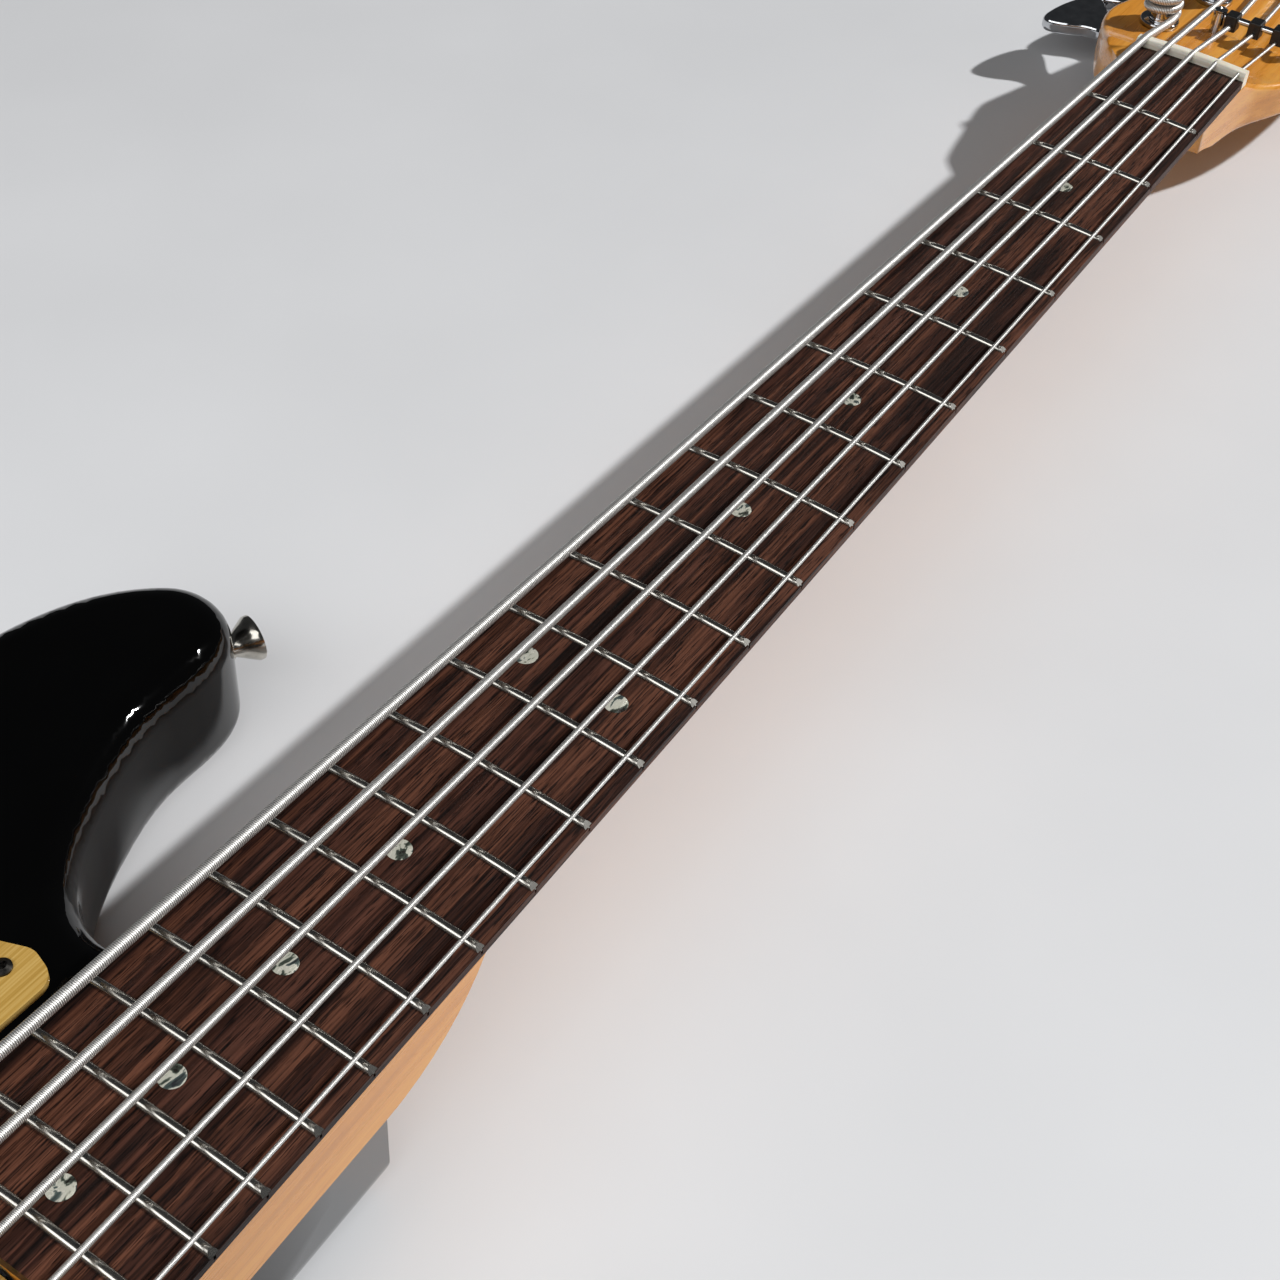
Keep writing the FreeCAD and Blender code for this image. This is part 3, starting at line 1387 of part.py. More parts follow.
bridge_soft = rounded("bridge_soft", bridge_blank, size("bridge_round"), bridge_corner)
base_top = top + size("bridge_base")
bridge_screw_places = [V(size("bridge_screw_front"), saddle_y(index), base_top) for index in STRINGS]
screw_level = top + size("flange_screw_height")
bridge_holes = [screw_hole("bridge_screw", place) for place in bridge_screw_places]
for index in STRINGS:
    y = saddle_y(index)
    start = V(flange_back - overrun, y, screw_level)
    wide = size("intonation_diameter") / 2 + size("running_clearance")
    bridge_holes.append(Part.makeCylinder(wide, size("bridge_flange") + 2 * overrun, start, ALONG))
    bridge_holes.append(route_slot(index, size("string_hole_clearance")))
bridge_hole_tools = shaped("bridge_holes", Part.makeCompound(bridge_holes))
node("bridge_plate", cut("bridge_plate", bridge_soft, bridge_hole_tools))
bridge_screw_body = named_screw("bridge_screw")
node("bridge_screws", shaped("bridge_screws", Part.makeCompound(
    [placed(bridge_screw_body, place) for place in bridge_screw_places])))


# Saddles with their two height screws, and the long screws that move them
def saddle(index):
    point = saddle_point(index)
    length = size("saddle_length")
    width = size("saddle_width")
    low = base_top + size("part_gap")
    high = point.z - string_radius(index) + size("saddle_groove")
    block = Part.makeBox(length, width, high - low, V(point.x - length / 2, point.y - width / 2, low))
    block = block.makeFillet(size("saddle_round"), [e for e in block.Edges if edge_at(high)(e)])
    bore = Part.makeCylinder(
        size("intonation_diameter") / 2 + size("running_clearance"), length + 2 * overrun,
        V(point.x - length / 2 - overrun, point.y, screw_level), ALONG)
    holes = [bore, route_slot(index, size("saddle_string_gap"))]
    grubs = []
    for side in (-1, 1):
        place = V(point.x + size("grub_forward"), point.y + side * size("grub_spacing") / 2, low)
        grub = Part.makeCylinder(size("grub_diameter") / 2, high + size("grub_proud") - low, place)
        socket = Part.makeBox(size("grub_diameter") / 2, size("grub_diameter") / 2, size("grub_proud"))
        socket.translate(place + V(-size("grub_diameter") / 4, -size("grub_diameter") / 4, high - low))
        grubs.append(grub.cut(socket))
        wide = size("grub_diameter") / 2 + size("screw_clearance")
        holes.append(Part.makeCylinder(wide, high - low + 2 * overrun, place - V(0, 0, overrun)))
    return Part.makeCompound([block.cut(holes)] + grubs)


def intonation_screw(index):
    point = saddle_point(index)
    head = size("intonation_head_height")
    gap = size("running_clearance")
    start = V(flange_back - gap - head, point.y, screw_level)
    reach = point.x + size("saddle_length") / 2 - start.x
    shank = Part.makeCylinder(size("intonation_diameter") / 2, reach, start, ALONG)
    cap = Part.makeCylinder(size("intonation_head") / 2, head, start, ALONG)
    slot_width = size("intonation_head") / 6
    slot = Part.makeBox(head, slot_width, size("intonation_head"))
    slot.translate(start - V(head / 2, slot_width / 2, size("intonation_head") / 2))
    return shank.fuse(cap).cut(slot).removeSplitter()


for index, name in enumerate(STRING_NAMES):
    node("saddle_" + name, shaped("saddle_" + name, saddle(index)))
    node("intonation_screw_" + name, shaped("intonation_screw_" + name, intonation_screw(index)))

# Control plate over its cavity, midway between the bridge and the side of the body,
# with three pots, their knobs and the output jack in a row
plate_turn = FreeCAD.Rotation(V(0, 0, 1), size("plate_angle"))
plate_middle = V(size("plate_centre_x"), -(size("bridge_width") + size("body_width")) / 4, top)
plate_top = top + size("plate_thickness")
control_count = len(KNOB_NAMES) + 1


def on_plate(x, y=0.0, z=0.0):
    return plate_middle + plate_turn.multVec(V(x, y, z))


def stadium(length, width, low, high):
    """A long round-ended block on the line of the controls."""
    half = (length - width) / 2
    block = Part.makeBox(2 * half, width, high - low, V(-half, -width / 2, low))
    ends = [Part.makeCylinder(width / 2, high - low, V(side * half, 0, low)) for side in (-1, 1)]
    return block.fuse(ends).removeSplitter()


control_places = [(i - (control_count - 1) / 2) * size("control_pitch") for i in range(control_count)]
jack_x = control_places[0]
pot_places = control_places[1:]
plate_screw_reach = size("plate_length") / 2 - size("plate_rim")
plate_screw_places = [on_plate(side * plate_screw_reach, 0, size("plate_thickness")) for side in (-1, 1)]
plate_screw_holes = [screw_hole("small_screw", place) for place in plate_screw_places]
bush_gap = size("screw_clearance")
plate_blank = stadium(size("plate_length"), size("plate_width"), 0, size("plate_thickness"))
plate_bores = []
for x in control_places:
    bush = "jack_bush_diameter" if x == jack_x else "pot_bush_diameter"
    depth = size("plate_thickness") + 2 * overrun
    plate_bores.append(Part.makeCylinder(size(bush) / 2 + bush_gap, depth, V(x, 0, -overrun)))
plate_shape = placed(plate_blank.cut(plate_bores), plate_middle, plate_turn)
node("control_plate", shaped("control_plate", plate_shape.cut(plate_screw_holes)))
cavity_length = size("plate_length") - 4 * size("plate_rim")
cavity_width = size("plate_width") - 2 * size("plate_rim")
cavity = placed(
    stadium(cavity_length, cavity_width, size("cavity_floor") - top, overrun), plate_middle, plate_turn)

pots = []
panel_nuts = []
nut_radius = size("panel_nut_width") / math.sqrt(3)
shaft_bore = size("pot_shaft_diameter") / 2 + size("running_clearance")
for x in pot_places:
    pot_height = size("pot_height")
    case = Part.makeCylinder(size("pot_diameter") / 2, pot_height, V(0, 0, -pot_height))
    case = case.makeFillet(size("pot_diameter") / 16, [e for e in case.Edges if edge_at(-pot_height)(e)])
    bush_rise = size("plate_thickness") + size("panel_nut_height")
    bush = Part.makeCylinder(size("pot_bush_diameter") / 2, bush_rise, V())
    hollow = Part.makeCylinder(shaft_bore, bush_rise + pot_height / 2 + overrun, V(0, 0, -pot_height / 2))
    pots.append(placed(case.fuse(bush).cut(hollow).removeSplitter(), on_plate(x), plate_turn))
for x in control_places:
    bush = "jack_bush_diameter" if x == jack_x else "pot_bush_diameter"
    angles = [i * math.pi / 3 for i in range(6)]
    corners = [V(nut_radius * math.cos(a), nut_radius * math.sin(a), 0) for a in angles]
    hexagon = Part.Face(Part.makePolygon(corners + corners[:1])).extrude(V(0, 0, size("panel_nut_height")))
    hexagon = hexagon.cut(Part.makeCylinder(size(bush) / 2 + bush_gap, size("panel_nut_height")))
    panel_nuts.append(placed(hexagon, on_plate(x, 0, size("plate_thickness")), plate_turn))
node("potentiometers", shaped("potentiometers", Part.makeCompound(pots)))
node("panel_nuts", shaped("panel_nuts", Part.makeCompound(panel_nuts)))


def knob():
    """A turned knob with a pointer line, pressed on the shaft of its pot."""
    low = size("plate_thickness") + size("panel_nut_height") + size("knob_lift")
    radius = size("knob_diameter") / 2
    high = low + size("knob_height")
    shaft_low = -size("pot_height") / 2 + size("part_gap")
    shaft_top = size("plate_thickness") + size("panel_nut_height") + size("pot_shaft_rise")
    shaft = Part.makeCylinder(size("pot_shaft_diameter") / 2, shaft_top - shaft_low, V(0, 0, shaft_low))
    body = Part.makeCylinder(radius, size("knob_height"), V(0, 0, low))
    body = body.makeFillet(size("knob_edge_round"), [e for e in body.Edges if edge_at(high)(e)])
    bore = Part.makeCylinder(size("pot_shaft_diameter") / 2, shaft_top - low, V(0, 0, low))
    groove = size("knob_groove")
    line = Part.makeBox(radius, groove, groove, V(0, -groove / 2, high - groove / 2))
    return Part.makeCompound([body.cut([bore, line]), shaft])


knob_body = knob()
for name, x in zip(KNOB_NAMES, pot_places):
    node(name, shaped(name, placed(knob_body, on_plate(x), plate_turn)))

jack_rise = size("plate_thickness") + size("panel_nut_height")
jack_height = size("jack_body_height")
jack_case = Part.makeCylinder(size("jack_body_diameter") / 2, jack_height, V(0, 0, -jack_height))
jack_bush = Part.makeCylinder(size("jack_bush_diameter") / 2, jack_rise, V())
jack_bore = Part.makeCylinder(
    size("jack_bore") / 2, jack_height + jack_rise, V(0, 0, size("housing_wall") - jack_height))
jack = jack_case.fuse(jack_bush).cut(jack_bore).removeSplitter()
node("output_jack", shaped("output_jack", placed(jack, on_plate(jack_x), plate_turn)))

# Tone capacitor, lying against the case of the last pot
capacitor_low = -size("pot_height") - size("capacitor_height") - size("part_gap")
capacitor_start = pot_places[-1] - size("capacitor_length") / 2
capacitor = solid(
    "Part::Box", "capacitor_blank",
    on_plate(capacitor_start, -size("capacitor_width") / 2, capacitor_low), plate_turn,
    Length="Sizes.capacitor_length", Width="Sizes.capacitor_width", Height="Sizes.capacitor_height")
node("tone_capacitor", rounded("tone_capacitor", capacitor, size("capacitor_width") / 4, along_z))

small_screw_body = named_screw("small_screw")
small_screw_places = plate_screw_places + retainer_screw_places
node("small_screws", shaped("small_screws", Part.makeCompound(
    [placed(small_screw_body, place) for place in small_screw_places])))


# Strap buttons: a waisted button at the horn and one at the tail, each held by its screw
def button():
    waist = size("button_waist_height")
    rim = size("button_length") - size("button_rim")
    seat = size("strap_screw_head_height")
    bore = size("strap_screw_diameter") / 2 + size("screw_clearance")
    well = size("strap_screw_head") / 2 + size("part_gap")
    high = size("button_length")
    profile = [
        V(bore, 0, 0), V(size("button_base") / 2, 0, 0), V(size("button_waist") / 2, 0, waist),
        V(size("button_flange") / 2, 0, rim),
        V(size("button_flange") / 2, 0, high), V(well, 0, high),
        V(well, 0, high - seat), V(bore, 0, high - seat)]
    return Part.Face(Part.makePolygon(profile + profile[:1])).revolve(V(), V(0, 0, 1), 360)


def strap_place(angle, side):
    """Seat of a button where the wall on one side of the body faces the angle."""
    way = V(math.cos(math.radians(angle)), math.sin(math.radians(angle)), 0)
    wall = [p for p in body_wire().discretize(WALL_POINTS) if p.y * side >= 0]
    seat = max(wall, key=way.dot) - way * size("button_seat")
    turn = FreeCAD.Rotation(V(0, 0, 1), angle) * towards_head
    return FreeCAD.Placement(V(seat.x, seat.y, top / 2), turn)


strap_places = [strap_place(size("horn_button_angle"), 1), strap_place(size("tail_button_angle"), 0)]
strap_screw_body = named_screw("strap_screw")
button_body = button()
buttons = []
strap_screws = []
strap_holes = []
for place in strap_places:
    outward = place.Rotation.multVec(V(0, 0, 1))
    seat = place.Base + outward * (size("button_length") - size("strap_screw_head_height"))
    buttons.append(placed(button_body, place.Base, place.Rotation))
    strap_screws.append(placed(strap_screw_body, seat, place.Rotation))
    strap_holes.append(screw_hole("strap_screw", seat, place.Rotation))
    face_radius = size("button_base") / 2 + size("part_gap")
    spot_face = Part.makeCylinder(face_radius, size("button_length"))
    strap_holes.append(placed(spot_face, place.Base, place.Rotation))
node("strap_buttons", shaped("strap_buttons", Part.makeCompound(buttons)))
node("strap_button_screws", shaped("strap_button_screws", Part.makeCompound(strap_screws)))


# The body with its neck pocket, cavities and screw holes
def pocket():
    gap = size("pocket_clearance")
    near = heel_x - gap
    far = lip_x + overrun
    corners = [
        (near, -neck_half(near) - gap - overrun), (far, -neck_half(far) - gap - overrun),
        (far, neck_half(far) + gap), (near, neck_half(near) + gap)]
    return prism(corners, heel_bottom, top + overrun)


def pocket_end():
    """What stays of the body beside the end of the pocket, past the open wall."""
    gap = size("pocket_clearance")
    near = heel_x - gap
    near_side = -neck_half(near) - gap
    wall_side = -neck_half(wall_x) - gap
    corners = [
        (near - overrun, near_side - 2 * overrun), (wall_x, wall_side - 2 * overrun),
        (wall_x, wall_side), (near - overrun, near_side)]
    return prism(corners, heel_bottom - overrun, top + 2 * overrun)


body_cuts = [pocket().cut(pocket_end()), cavity] + pickup_routs + ferrule_holes + neck_screw_holes
body_cuts += pickup_screw_holes + guard_screw_holes + bridge_holes[:len(STRING_NAMES)]
body_cuts += plate_screw_holes + strap_holes
node("body", shaped("body", body_round.Shape.cut(body_cuts)))

doc.recompute()
for obj in doc.Objects:
    if "Invalid" in obj.State or "Error" in obj.State:
        raise RuntimeError("not rebuilt: " + obj.Label)
for label, obj in nodes.items():
    if obj.Shape.isNull() or not obj.Shape.isValid() or not obj.Shape.Solids:
        raise RuntimeError("bad shape: " + label)

os.makedirs("parts", exist_ok=True)
for label, obj in nodes.items():
    obj.Shape.exportStep(os.path.join("parts", label + ".step"))
print("pieces", len(nodes), "solids", sum(len(obj.Shape.Solids) for obj in nodes.values()))
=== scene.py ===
import json
import math

import bmesh
import bpy
from mathutils import Matrix, Vector

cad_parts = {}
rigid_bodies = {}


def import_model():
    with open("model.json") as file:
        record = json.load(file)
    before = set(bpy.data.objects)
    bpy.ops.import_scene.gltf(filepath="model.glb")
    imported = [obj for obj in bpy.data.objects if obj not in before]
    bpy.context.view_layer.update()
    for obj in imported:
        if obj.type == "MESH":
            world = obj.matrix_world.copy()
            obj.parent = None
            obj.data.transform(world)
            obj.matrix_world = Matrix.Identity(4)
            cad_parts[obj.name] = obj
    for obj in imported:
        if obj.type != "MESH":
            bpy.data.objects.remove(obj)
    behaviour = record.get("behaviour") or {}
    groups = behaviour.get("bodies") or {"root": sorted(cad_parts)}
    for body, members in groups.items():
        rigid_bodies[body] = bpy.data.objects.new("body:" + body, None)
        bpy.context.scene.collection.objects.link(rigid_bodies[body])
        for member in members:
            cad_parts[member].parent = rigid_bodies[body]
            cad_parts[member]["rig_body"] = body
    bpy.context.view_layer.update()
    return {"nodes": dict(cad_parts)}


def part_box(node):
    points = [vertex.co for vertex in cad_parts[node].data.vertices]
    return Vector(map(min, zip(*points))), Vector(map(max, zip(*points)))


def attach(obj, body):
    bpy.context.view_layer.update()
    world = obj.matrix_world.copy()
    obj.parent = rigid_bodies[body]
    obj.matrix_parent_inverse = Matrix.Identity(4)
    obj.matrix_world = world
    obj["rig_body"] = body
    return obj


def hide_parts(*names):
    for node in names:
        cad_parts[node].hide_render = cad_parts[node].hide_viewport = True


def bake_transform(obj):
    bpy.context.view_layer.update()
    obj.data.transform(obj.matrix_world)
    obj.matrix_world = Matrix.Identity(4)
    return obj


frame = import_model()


# Body: a slab of light hardwood, its edges rounded with a router, sprayed black and polished.
# The lacquer levels out like glass: deep black, sharp highlights and a faint ripple from the spray.
MM = 0.001
MERGE_REACH = 0.001 * MM
SHARP_EDGE = math.radians(30)


def linear(code):
    """A colour written as sRGB hex, as the linear values that a shader takes."""
    channels = [int(code[i:i + 2], 16) / 255 for i in (1, 3, 5)]
    return [c / 12.92 if c <= 0.04045 else ((c + 0.055) / 1.055) ** 2.4 for c in channels] + [1.0]


def per_metre(size_mm):
    """How many features of this size fit in a metre."""
    return 1 / (size_mm * MM)


def connect(tree, node, inputs):
    """Set a node's inputs to values, or link them to a socket or to another node's first output."""
    for name, value in inputs.items():
        if isinstance(value, bpy.types.Node):
            value = value.outputs[0]
        if isinstance(value, bpy.types.NodeSocket):
            tree.links.new(value, node.inputs[name])
        else:
            node.inputs[name].default_value = value


def add(tree, kind, inputs, stops=(), **settings):
    """Add a node with its settings and links, and for a colour ramp its stops as place and hex."""
    node = tree.nodes.new(kind)
    for name, value in settings.items():
        setattr(node, name, value)
    if stops:
        elements = node.color_ramp.elements
        elements.remove(elements[1])
        elements[0].position = stops[0][0]
        elements[0].color = linear(stops[0][1])
        for place, code in stops[1:]:
            elements.new(place).color = linear(code)
    connect(tree, node, inputs)
    return node


def new_material(name):
    """A material's tree and shader, and the object coordinates that its patterns lie in."""
    material = bpy.data.materials.new(name)
    material.use_nodes = True
    tree = material.node_tree
    place = add(tree, "ShaderNodeTexCoord", {}).outputs["Object"]
    return material, tree, tree.nodes["Principled BSDF"], place


def dress(material, *names):
    """Give CAD nodes their finish."""
    for name in names:
        slots = frame["nodes"][name].data.materials
        slots.clear()
        slots.append(material)


black_lacquer, tree, shader, place = new_material("polished_black_lacquer")
haze = add(tree, "ShaderNodeTexNoise", {"Vector": place, "Scale": per_metre(45), "Detail": 3.0})
ripple = add(tree, "ShaderNodeTexNoise", {"Vector": place, "Scale": per_metre(7), "Detail": 1.0})
connect(tree, shader, {
    "Base Color": add(tree, "ShaderNodeValToRGB", {"Fac": haze}, [(0.35, "#010101"), (0.7, "#030303")]),
    "Roughness": add(tree, "ShaderNodeMapRange", {"Value": haze, "To Min": 0.02, "To Max": 0.06}),
    "Normal": add(tree, "ShaderNodeBump", {"Height": ripple, "Distance": 0.002 * MM}),
    "IOR": 1.45,
})


def new_piece(name, bm, material):
    """Put a finished mesh in the scene with its material."""
    mesh = bpy.data.meshes.new(name)
    bm.to_mesh(mesh)
    bm.free()
    mesh.materials.append(material)
    piece = bpy.data.objects.new(name, mesh)
    bpy.context.scene.collection.objects.link(piece)
    return piece


def polish(material, slot, *names):
    """Show CAD pieces with their facets shaded smooth and their edges kept sharp."""
    for name in names:
        node = frame["nodes"][name]
        bm = bmesh.new()
        bm.from_mesh(node.data)
        bmesh.ops.remove_doubles(bm, verts=bm.verts, dist=MERGE_REACH)
        for face in bm.faces:
            face.smooth = True
        piece = new_piece(name + "_polished", bm, material)
        piece.data.set_sharp_from_angle(angle=SHARP_EDGE)
        normals = piece.modifiers.new("weighted_normals", "WEIGHTED_NORMAL")
        normals.keep_sharp = True
        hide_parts(name)
        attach(piece, node["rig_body"])


polish(black_lacquer, "black_lacquer", "body")

# Neck screws: four steel wood screws, each in a plated cup let into the back of the body.
# Chrome plate mirrors the room, with a thin haze from handling; zinc shows its dull crystals.
# The truss rod inside the neck is of the same zinc-plated steel.
chrome, tree, shader, place = new_material("bright_chrome_plate")
smudge = add(tree, "ShaderNodeTexNoise", {"Vector": place, "Scale": per_metre(4), "Detail": 4.0})
connect(tree, shader, {
    "Base Color": add(tree, "ShaderNodeValToRGB", {"Fac": smudge}, [(0.3, "#B4B7BB"), (0.7, "#D2D4D7")]),
    "Roughness": add(tree, "ShaderNodeMapRange", {"Value": smudge, "To Min": 0.03, "To Max": 0.12}),
    "Metallic": 1.0,
})
dress(chrome, "neck_ferrules")

zinc_steel, tree, shader, place = new_material("zinc_plated_steel")
crystal = add(tree, "ShaderNodeTexNoise", {"Vector": place, "Scale": per_metre(1.5), "Detail": 5.0})
connect(tree, shader, {
    "Base Color": add(tree, "ShaderNodeValToRGB", {"Fac": crystal}, [(0.3, "#8E9093"), (0.7, "#B6B8BA")]),
    "Roughness": add(tree, "ShaderNodeMapRange", {"Value": crystal, "To Min": 0.22, "To Max": 0.42}),
    "Metallic": 1.0,
})
dress(zinc_steel, "neck_screws", "truss_rod")

# Neck: one piece of maple from heel to headstock, under an amber lacquer polished to a gloss.
# Slow-grown maple shows faint straight lines, short darker flecks and soft bands of colour.
MIX_SHARE, MIX_FIRST, MIX_SECOND, MIX_RESULT = 0, 6, 7, 2  # the colour sockets of a mix node

maple, tree, shader, place = new_material("amber_lacquered_maple")
along = add(tree, "ShaderNodeMapping", {
    "Vector": place, "Scale": [per_metre(160), per_metre(5), per_metre(5)]})
bands = add(tree, "ShaderNodeTexNoise", {"Vector": along, "Scale": 1.0, "Detail": 4.0})
short = add(tree, "ShaderNodeMapping", {
    "Vector": place, "Scale": [per_metre(9), per_metre(0.5), per_metre(0.5)]})
flecks = add(tree, "ShaderNodeTexNoise", {"Vector": short, "Scale": 1.0, "Detail": 3.0})
wood = add(tree, "ShaderNodeValToRGB", {"Fac": bands}, [
    (0.25, "#C97F26"), (0.5, "#DF9536"), (0.75, "#ECAC4E")])
fleck = add(tree, "ShaderNodeValToRGB", {"Fac": flecks}, [(0.33, "#B98A5C"), (0.47, "#FFFFFF")])
grained = add(
    tree, "ShaderNodeMix", {MIX_SHARE: 0.25, MIX_FIRST: wood, MIX_SECOND: fleck},
    data_type="RGBA", blend_type="MULTIPLY")
connect(tree, shader, {
    "Base Color": grained.outputs[MIX_RESULT],
    "Roughness": add(tree, "ShaderNodeMapRange", {"Value": bands, "To Min": 0.22, "To Max": 0.34}),
    "Normal": add(tree, "ShaderNodeBump", {"Height": flecks, "Distance": 0.01 * MM}),
    "IOR": 1.5,
    "Coat Weight": 0.5,
    "Coat Roughness": 0.06,
})
polish(maple, "maple", "neck")

# Fingerboard: rosewood, planed to an arch and oiled, glued to the maple.
# Dark and red streaks run along it, with open pores that show as short dark lines.
rosewood, tree, shader, place = new_material("oiled_rosewood")
long = add(tree, "ShaderNodeMapping", {
    "Vector": place, "Scale": [per_metre(260), per_metre(9), per_metre(9)]})
streaks = add(tree, "ShaderNodeTexNoise", {"Vector": long, "Scale": 1.0, "Detail": 5.0})
fine = add(tree, "ShaderNodeMapping", {
    "Vector": place, "Scale": [per_metre(55), per_metre(0.8), per_metre(0.8)]})
lines = add(tree, "ShaderNodeTexNoise", {"Vector": fine, "Scale": 1.0, "Detail": 3.0})
short = add(tree, "ShaderNodeMapping", {
    "Vector": place, "Scale": [per_metre(8), per_metre(0.4), per_metre(0.4)]})
pores = add(tree, "ShaderNodeTexNoise", {"Vector": short, "Scale": 1.0, "Detail": 2.0})
wood = add(tree, "ShaderNodeValToRGB", {"Fac": streaks}, [
    (0.28, "#140A07"), (0.40, "#361E16"), (0.48, "#643E2E"),
    (0.54, "#2A1610"), (0.62, "#58362A"), (0.72, "#1C0F0B")])
line = add(tree, "ShaderNodeValToRGB", {"Fac": lines}, [(0.34, "#5A4A44"), (0.58, "#FFFFFF")])
pore = add(tree, "ShaderNodeValToRGB", {"Fac": pores}, [(0.38, "#2C1B16"), (0.45, "#FFFFFF")])
lined = add(
    tree, "ShaderNodeMix", {MIX_SHARE: 0.85, MIX_FIRST: wood, MIX_SECOND: line},
    data_type="RGBA", blend_type="MULTIPLY")
pored = add(
    tree, "ShaderNodeMix", {MIX_SHARE: 0.85, MIX_FIRST: lined.outputs[MIX_RESULT], MIX_SECOND: pore},
    data_type="RGBA", blend_type="MULTIPLY")
connect(tree, shader, {
    "Base Color": pored.outputs[MIX_RESULT],
    "Roughness": add(tree, "ShaderNodeMapRange", {"Value": lines, "To Min": 0.38, "To Max": 0.58}),
    "Normal": add(tree, "ShaderNodeBump", {"Height": pores, "Distance": 0.12 * MM}),
    "IOR": 1.45,
    "Specular IOR Level": 0.22,
})
dress(rosewood, "fingerboard")

# Frets: nickel silver wire pressed into slots across the board, bent to its arch,
# with the crowns polished and the ends filed to a bevel that catches the light.
FRET_COUNT = 21
FRETS_PER_OCTAVE = 12
BOARD_RADIUS = 385 * MM
FRET_WIDTH = 2.6 * MM
FRET_HEIGHT = 1.1 * MM
FRET_SINK = 0.25 * MM
FRET_END_BEVEL = 1.2 * MM
FRET_SHARP_EDGE = math.radians(35)
CROWN_STEPS = 12
ARCH_STEPS = 24

board_low, board_high = [Vector(corner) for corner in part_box("fingerboard")]
nut_low, nut_high = [Vector(corner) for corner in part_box("nut")]
arch_axis = Vector((0, 0, board_high.z - BOARD_RADIUS))
board_edge = arch_axis.z + math.sqrt(BOARD_RADIUS ** 2 - board_high.y ** 2)
crown_radius = (FRET_WIDTH ** 2 / 4 + FRET_HEIGHT ** 2) / (2 * FRET_HEIGHT)
crown_turn = 2 * math.asin(FRET_WIDTH / 2 / crown_radius)


def fret_wire(x):
    """One length of fret wire: a crown swept across the arch, its ends cut to the bevel."""
    bm = bmesh.new()
    share = (x - board_low.x) / (board_high.x - board_low.x)
    half = board_high.y + (nut_high.y - board_high.y) * share
    shoulder = bmesh.ops.create_vert(bm, co=(x - FRET_WIDTH / 2, 0, board_high.z))["vert"]
    crown_middle = (x, 0, board_high.z + FRET_HEIGHT - crown_radius)
    crown = bmesh.ops.spin(
        bm, geom=shoulder, cent=crown_middle, axis=(0, 1, 0), angle=crown_turn, steps=CROWN_STEPS)
    feet = bmesh.ops.extrude_vert_indiv(bm, verts=shoulder + crown["geom_last"])["verts"]
    bmesh.ops.translate(bm, vec=(0, 0, -FRET_SINK), verts=feet)
    bmesh.ops.contextual_create(bm, geom=feet)
    arch_half = math.asin(half / BOARD_RADIUS)
    bmesh.ops.rotate(bm, cent=arch_axis, matrix=Matrix.Rotation(-arch_half, 3, "X"), verts=bm.verts)
    bmesh.ops.spin(
        bm, geom=bm.edges[:], cent=arch_axis, axis=(1, 0, 0), angle=2 * arch_half, steps=ARCH_STEPS)
    for side in (-1, 1):
        bmesh.ops.bisect_plane(
            bm, geom=bm.verts[:] + bm.edges[:] + bm.faces[:], plane_co=(x, side * half, board_edge),
            plane_no=(0, side * FRET_HEIGHT, FRET_END_BEVEL), clear_outer=True)
    bmesh.ops.holes_fill(bm, edges=[edge for edge in bm.edges if edge.is_boundary])
    bmesh.ops.recalc_face_normals(bm, faces=bm.faces)
    for face in bm.faces:
        face.smooth = True
    mesh = bpy.data.meshes.new("fret_wire")
    bm.to_mesh(mesh)
    bm.free()
    return mesh


nickel_silver, tree, shader, place = new_material("polished_nickel_silver")
across = add(tree, "ShaderNodeMapping", {
    "Vector": place, "Scale": [per_metre(0.2), per_metre(4), per_metre(4)]})
scratches = add(tree, "ShaderNodeTexNoise", {"Vector": across, "Scale": 1.0, "Detail": 3.0})
connect(tree, shader, {
    "Base Color": add(tree, "ShaderNodeValToRGB", {"Fac": scratches}, [(0.3, "#B4B1AA"), (0.7, "#C2BFB8")]),
    "Roughness": add(tree, "ShaderNodeMapRange", {"Value": scratches, "To Min": 0.2, "To Max": 0.28}),
    "Metallic": 1.0,
})
all_frets = bmesh.new()
for number in range(1, FRET_COUNT + 1):
    wire = fret_wire(nut_low.x * 2 ** (-number / FRETS_PER_OCTAVE))
    all_frets.from_mesh(wire)
    bpy.data.meshes.remove(wire)
fret_wires = new_piece("fret_wires", all_frets, nickel_silver)
fret_wires.data.set_sharp_from_angle(angle=FRET_SHARP_EDGE)
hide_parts("frets")
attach(fret_wires, "instrument")

# Position dots: discs of abalone shell, let into the board and sanded flush.
# The shell lies in wavy layers, dark green to grey, and a few layers are painted nearly white as a painted
# flash of reflected light.
abalone, tree, shader, place = new_material("abalone_shell")
layers = add(tree, "ShaderNodeMapping", {
    "Vector": place, "Scale": [per_metre(5.0), per_metre(3.0), per_metre(5.0)]})
waves = add(tree, "ShaderNodeTexNoise", {"Vector": layers, "Scale": 1.0, "Detail": 4.0, "Distortion": 0.6})
# The two near-white stops are painted flash: reflected light put into the shell's own colour.
shell_and_painted_flash = add(tree, "ShaderNodeValToRGB", {"Fac": waves}, [
    (0.34, "#2A2723"), (0.43, "#4C554C"), (0.47, "#D2D2C2"),
    (0.57, "#E2E0D2"), (0.60, "#5C6A66"), (0.70, "#2B2F33")])
connect(tree, shader, {
    "Base Color": shell_and_painted_flash,
    "Roughness": add(tree, "ShaderNodeMapRange", {"Value": waves, "To Min": 0.12, "To Max": 0.4}),
    "Metallic": add(tree, "ShaderNodeMapRange", {"Value": waves, "To Min": 0.1, "To Max": 0.4}),
    "IOR": 1.6,
    "Coat Weight": 0.4,
    "Coat Roughness": 0.08,
})
dress(abalone, "position_dots", "side_dots")

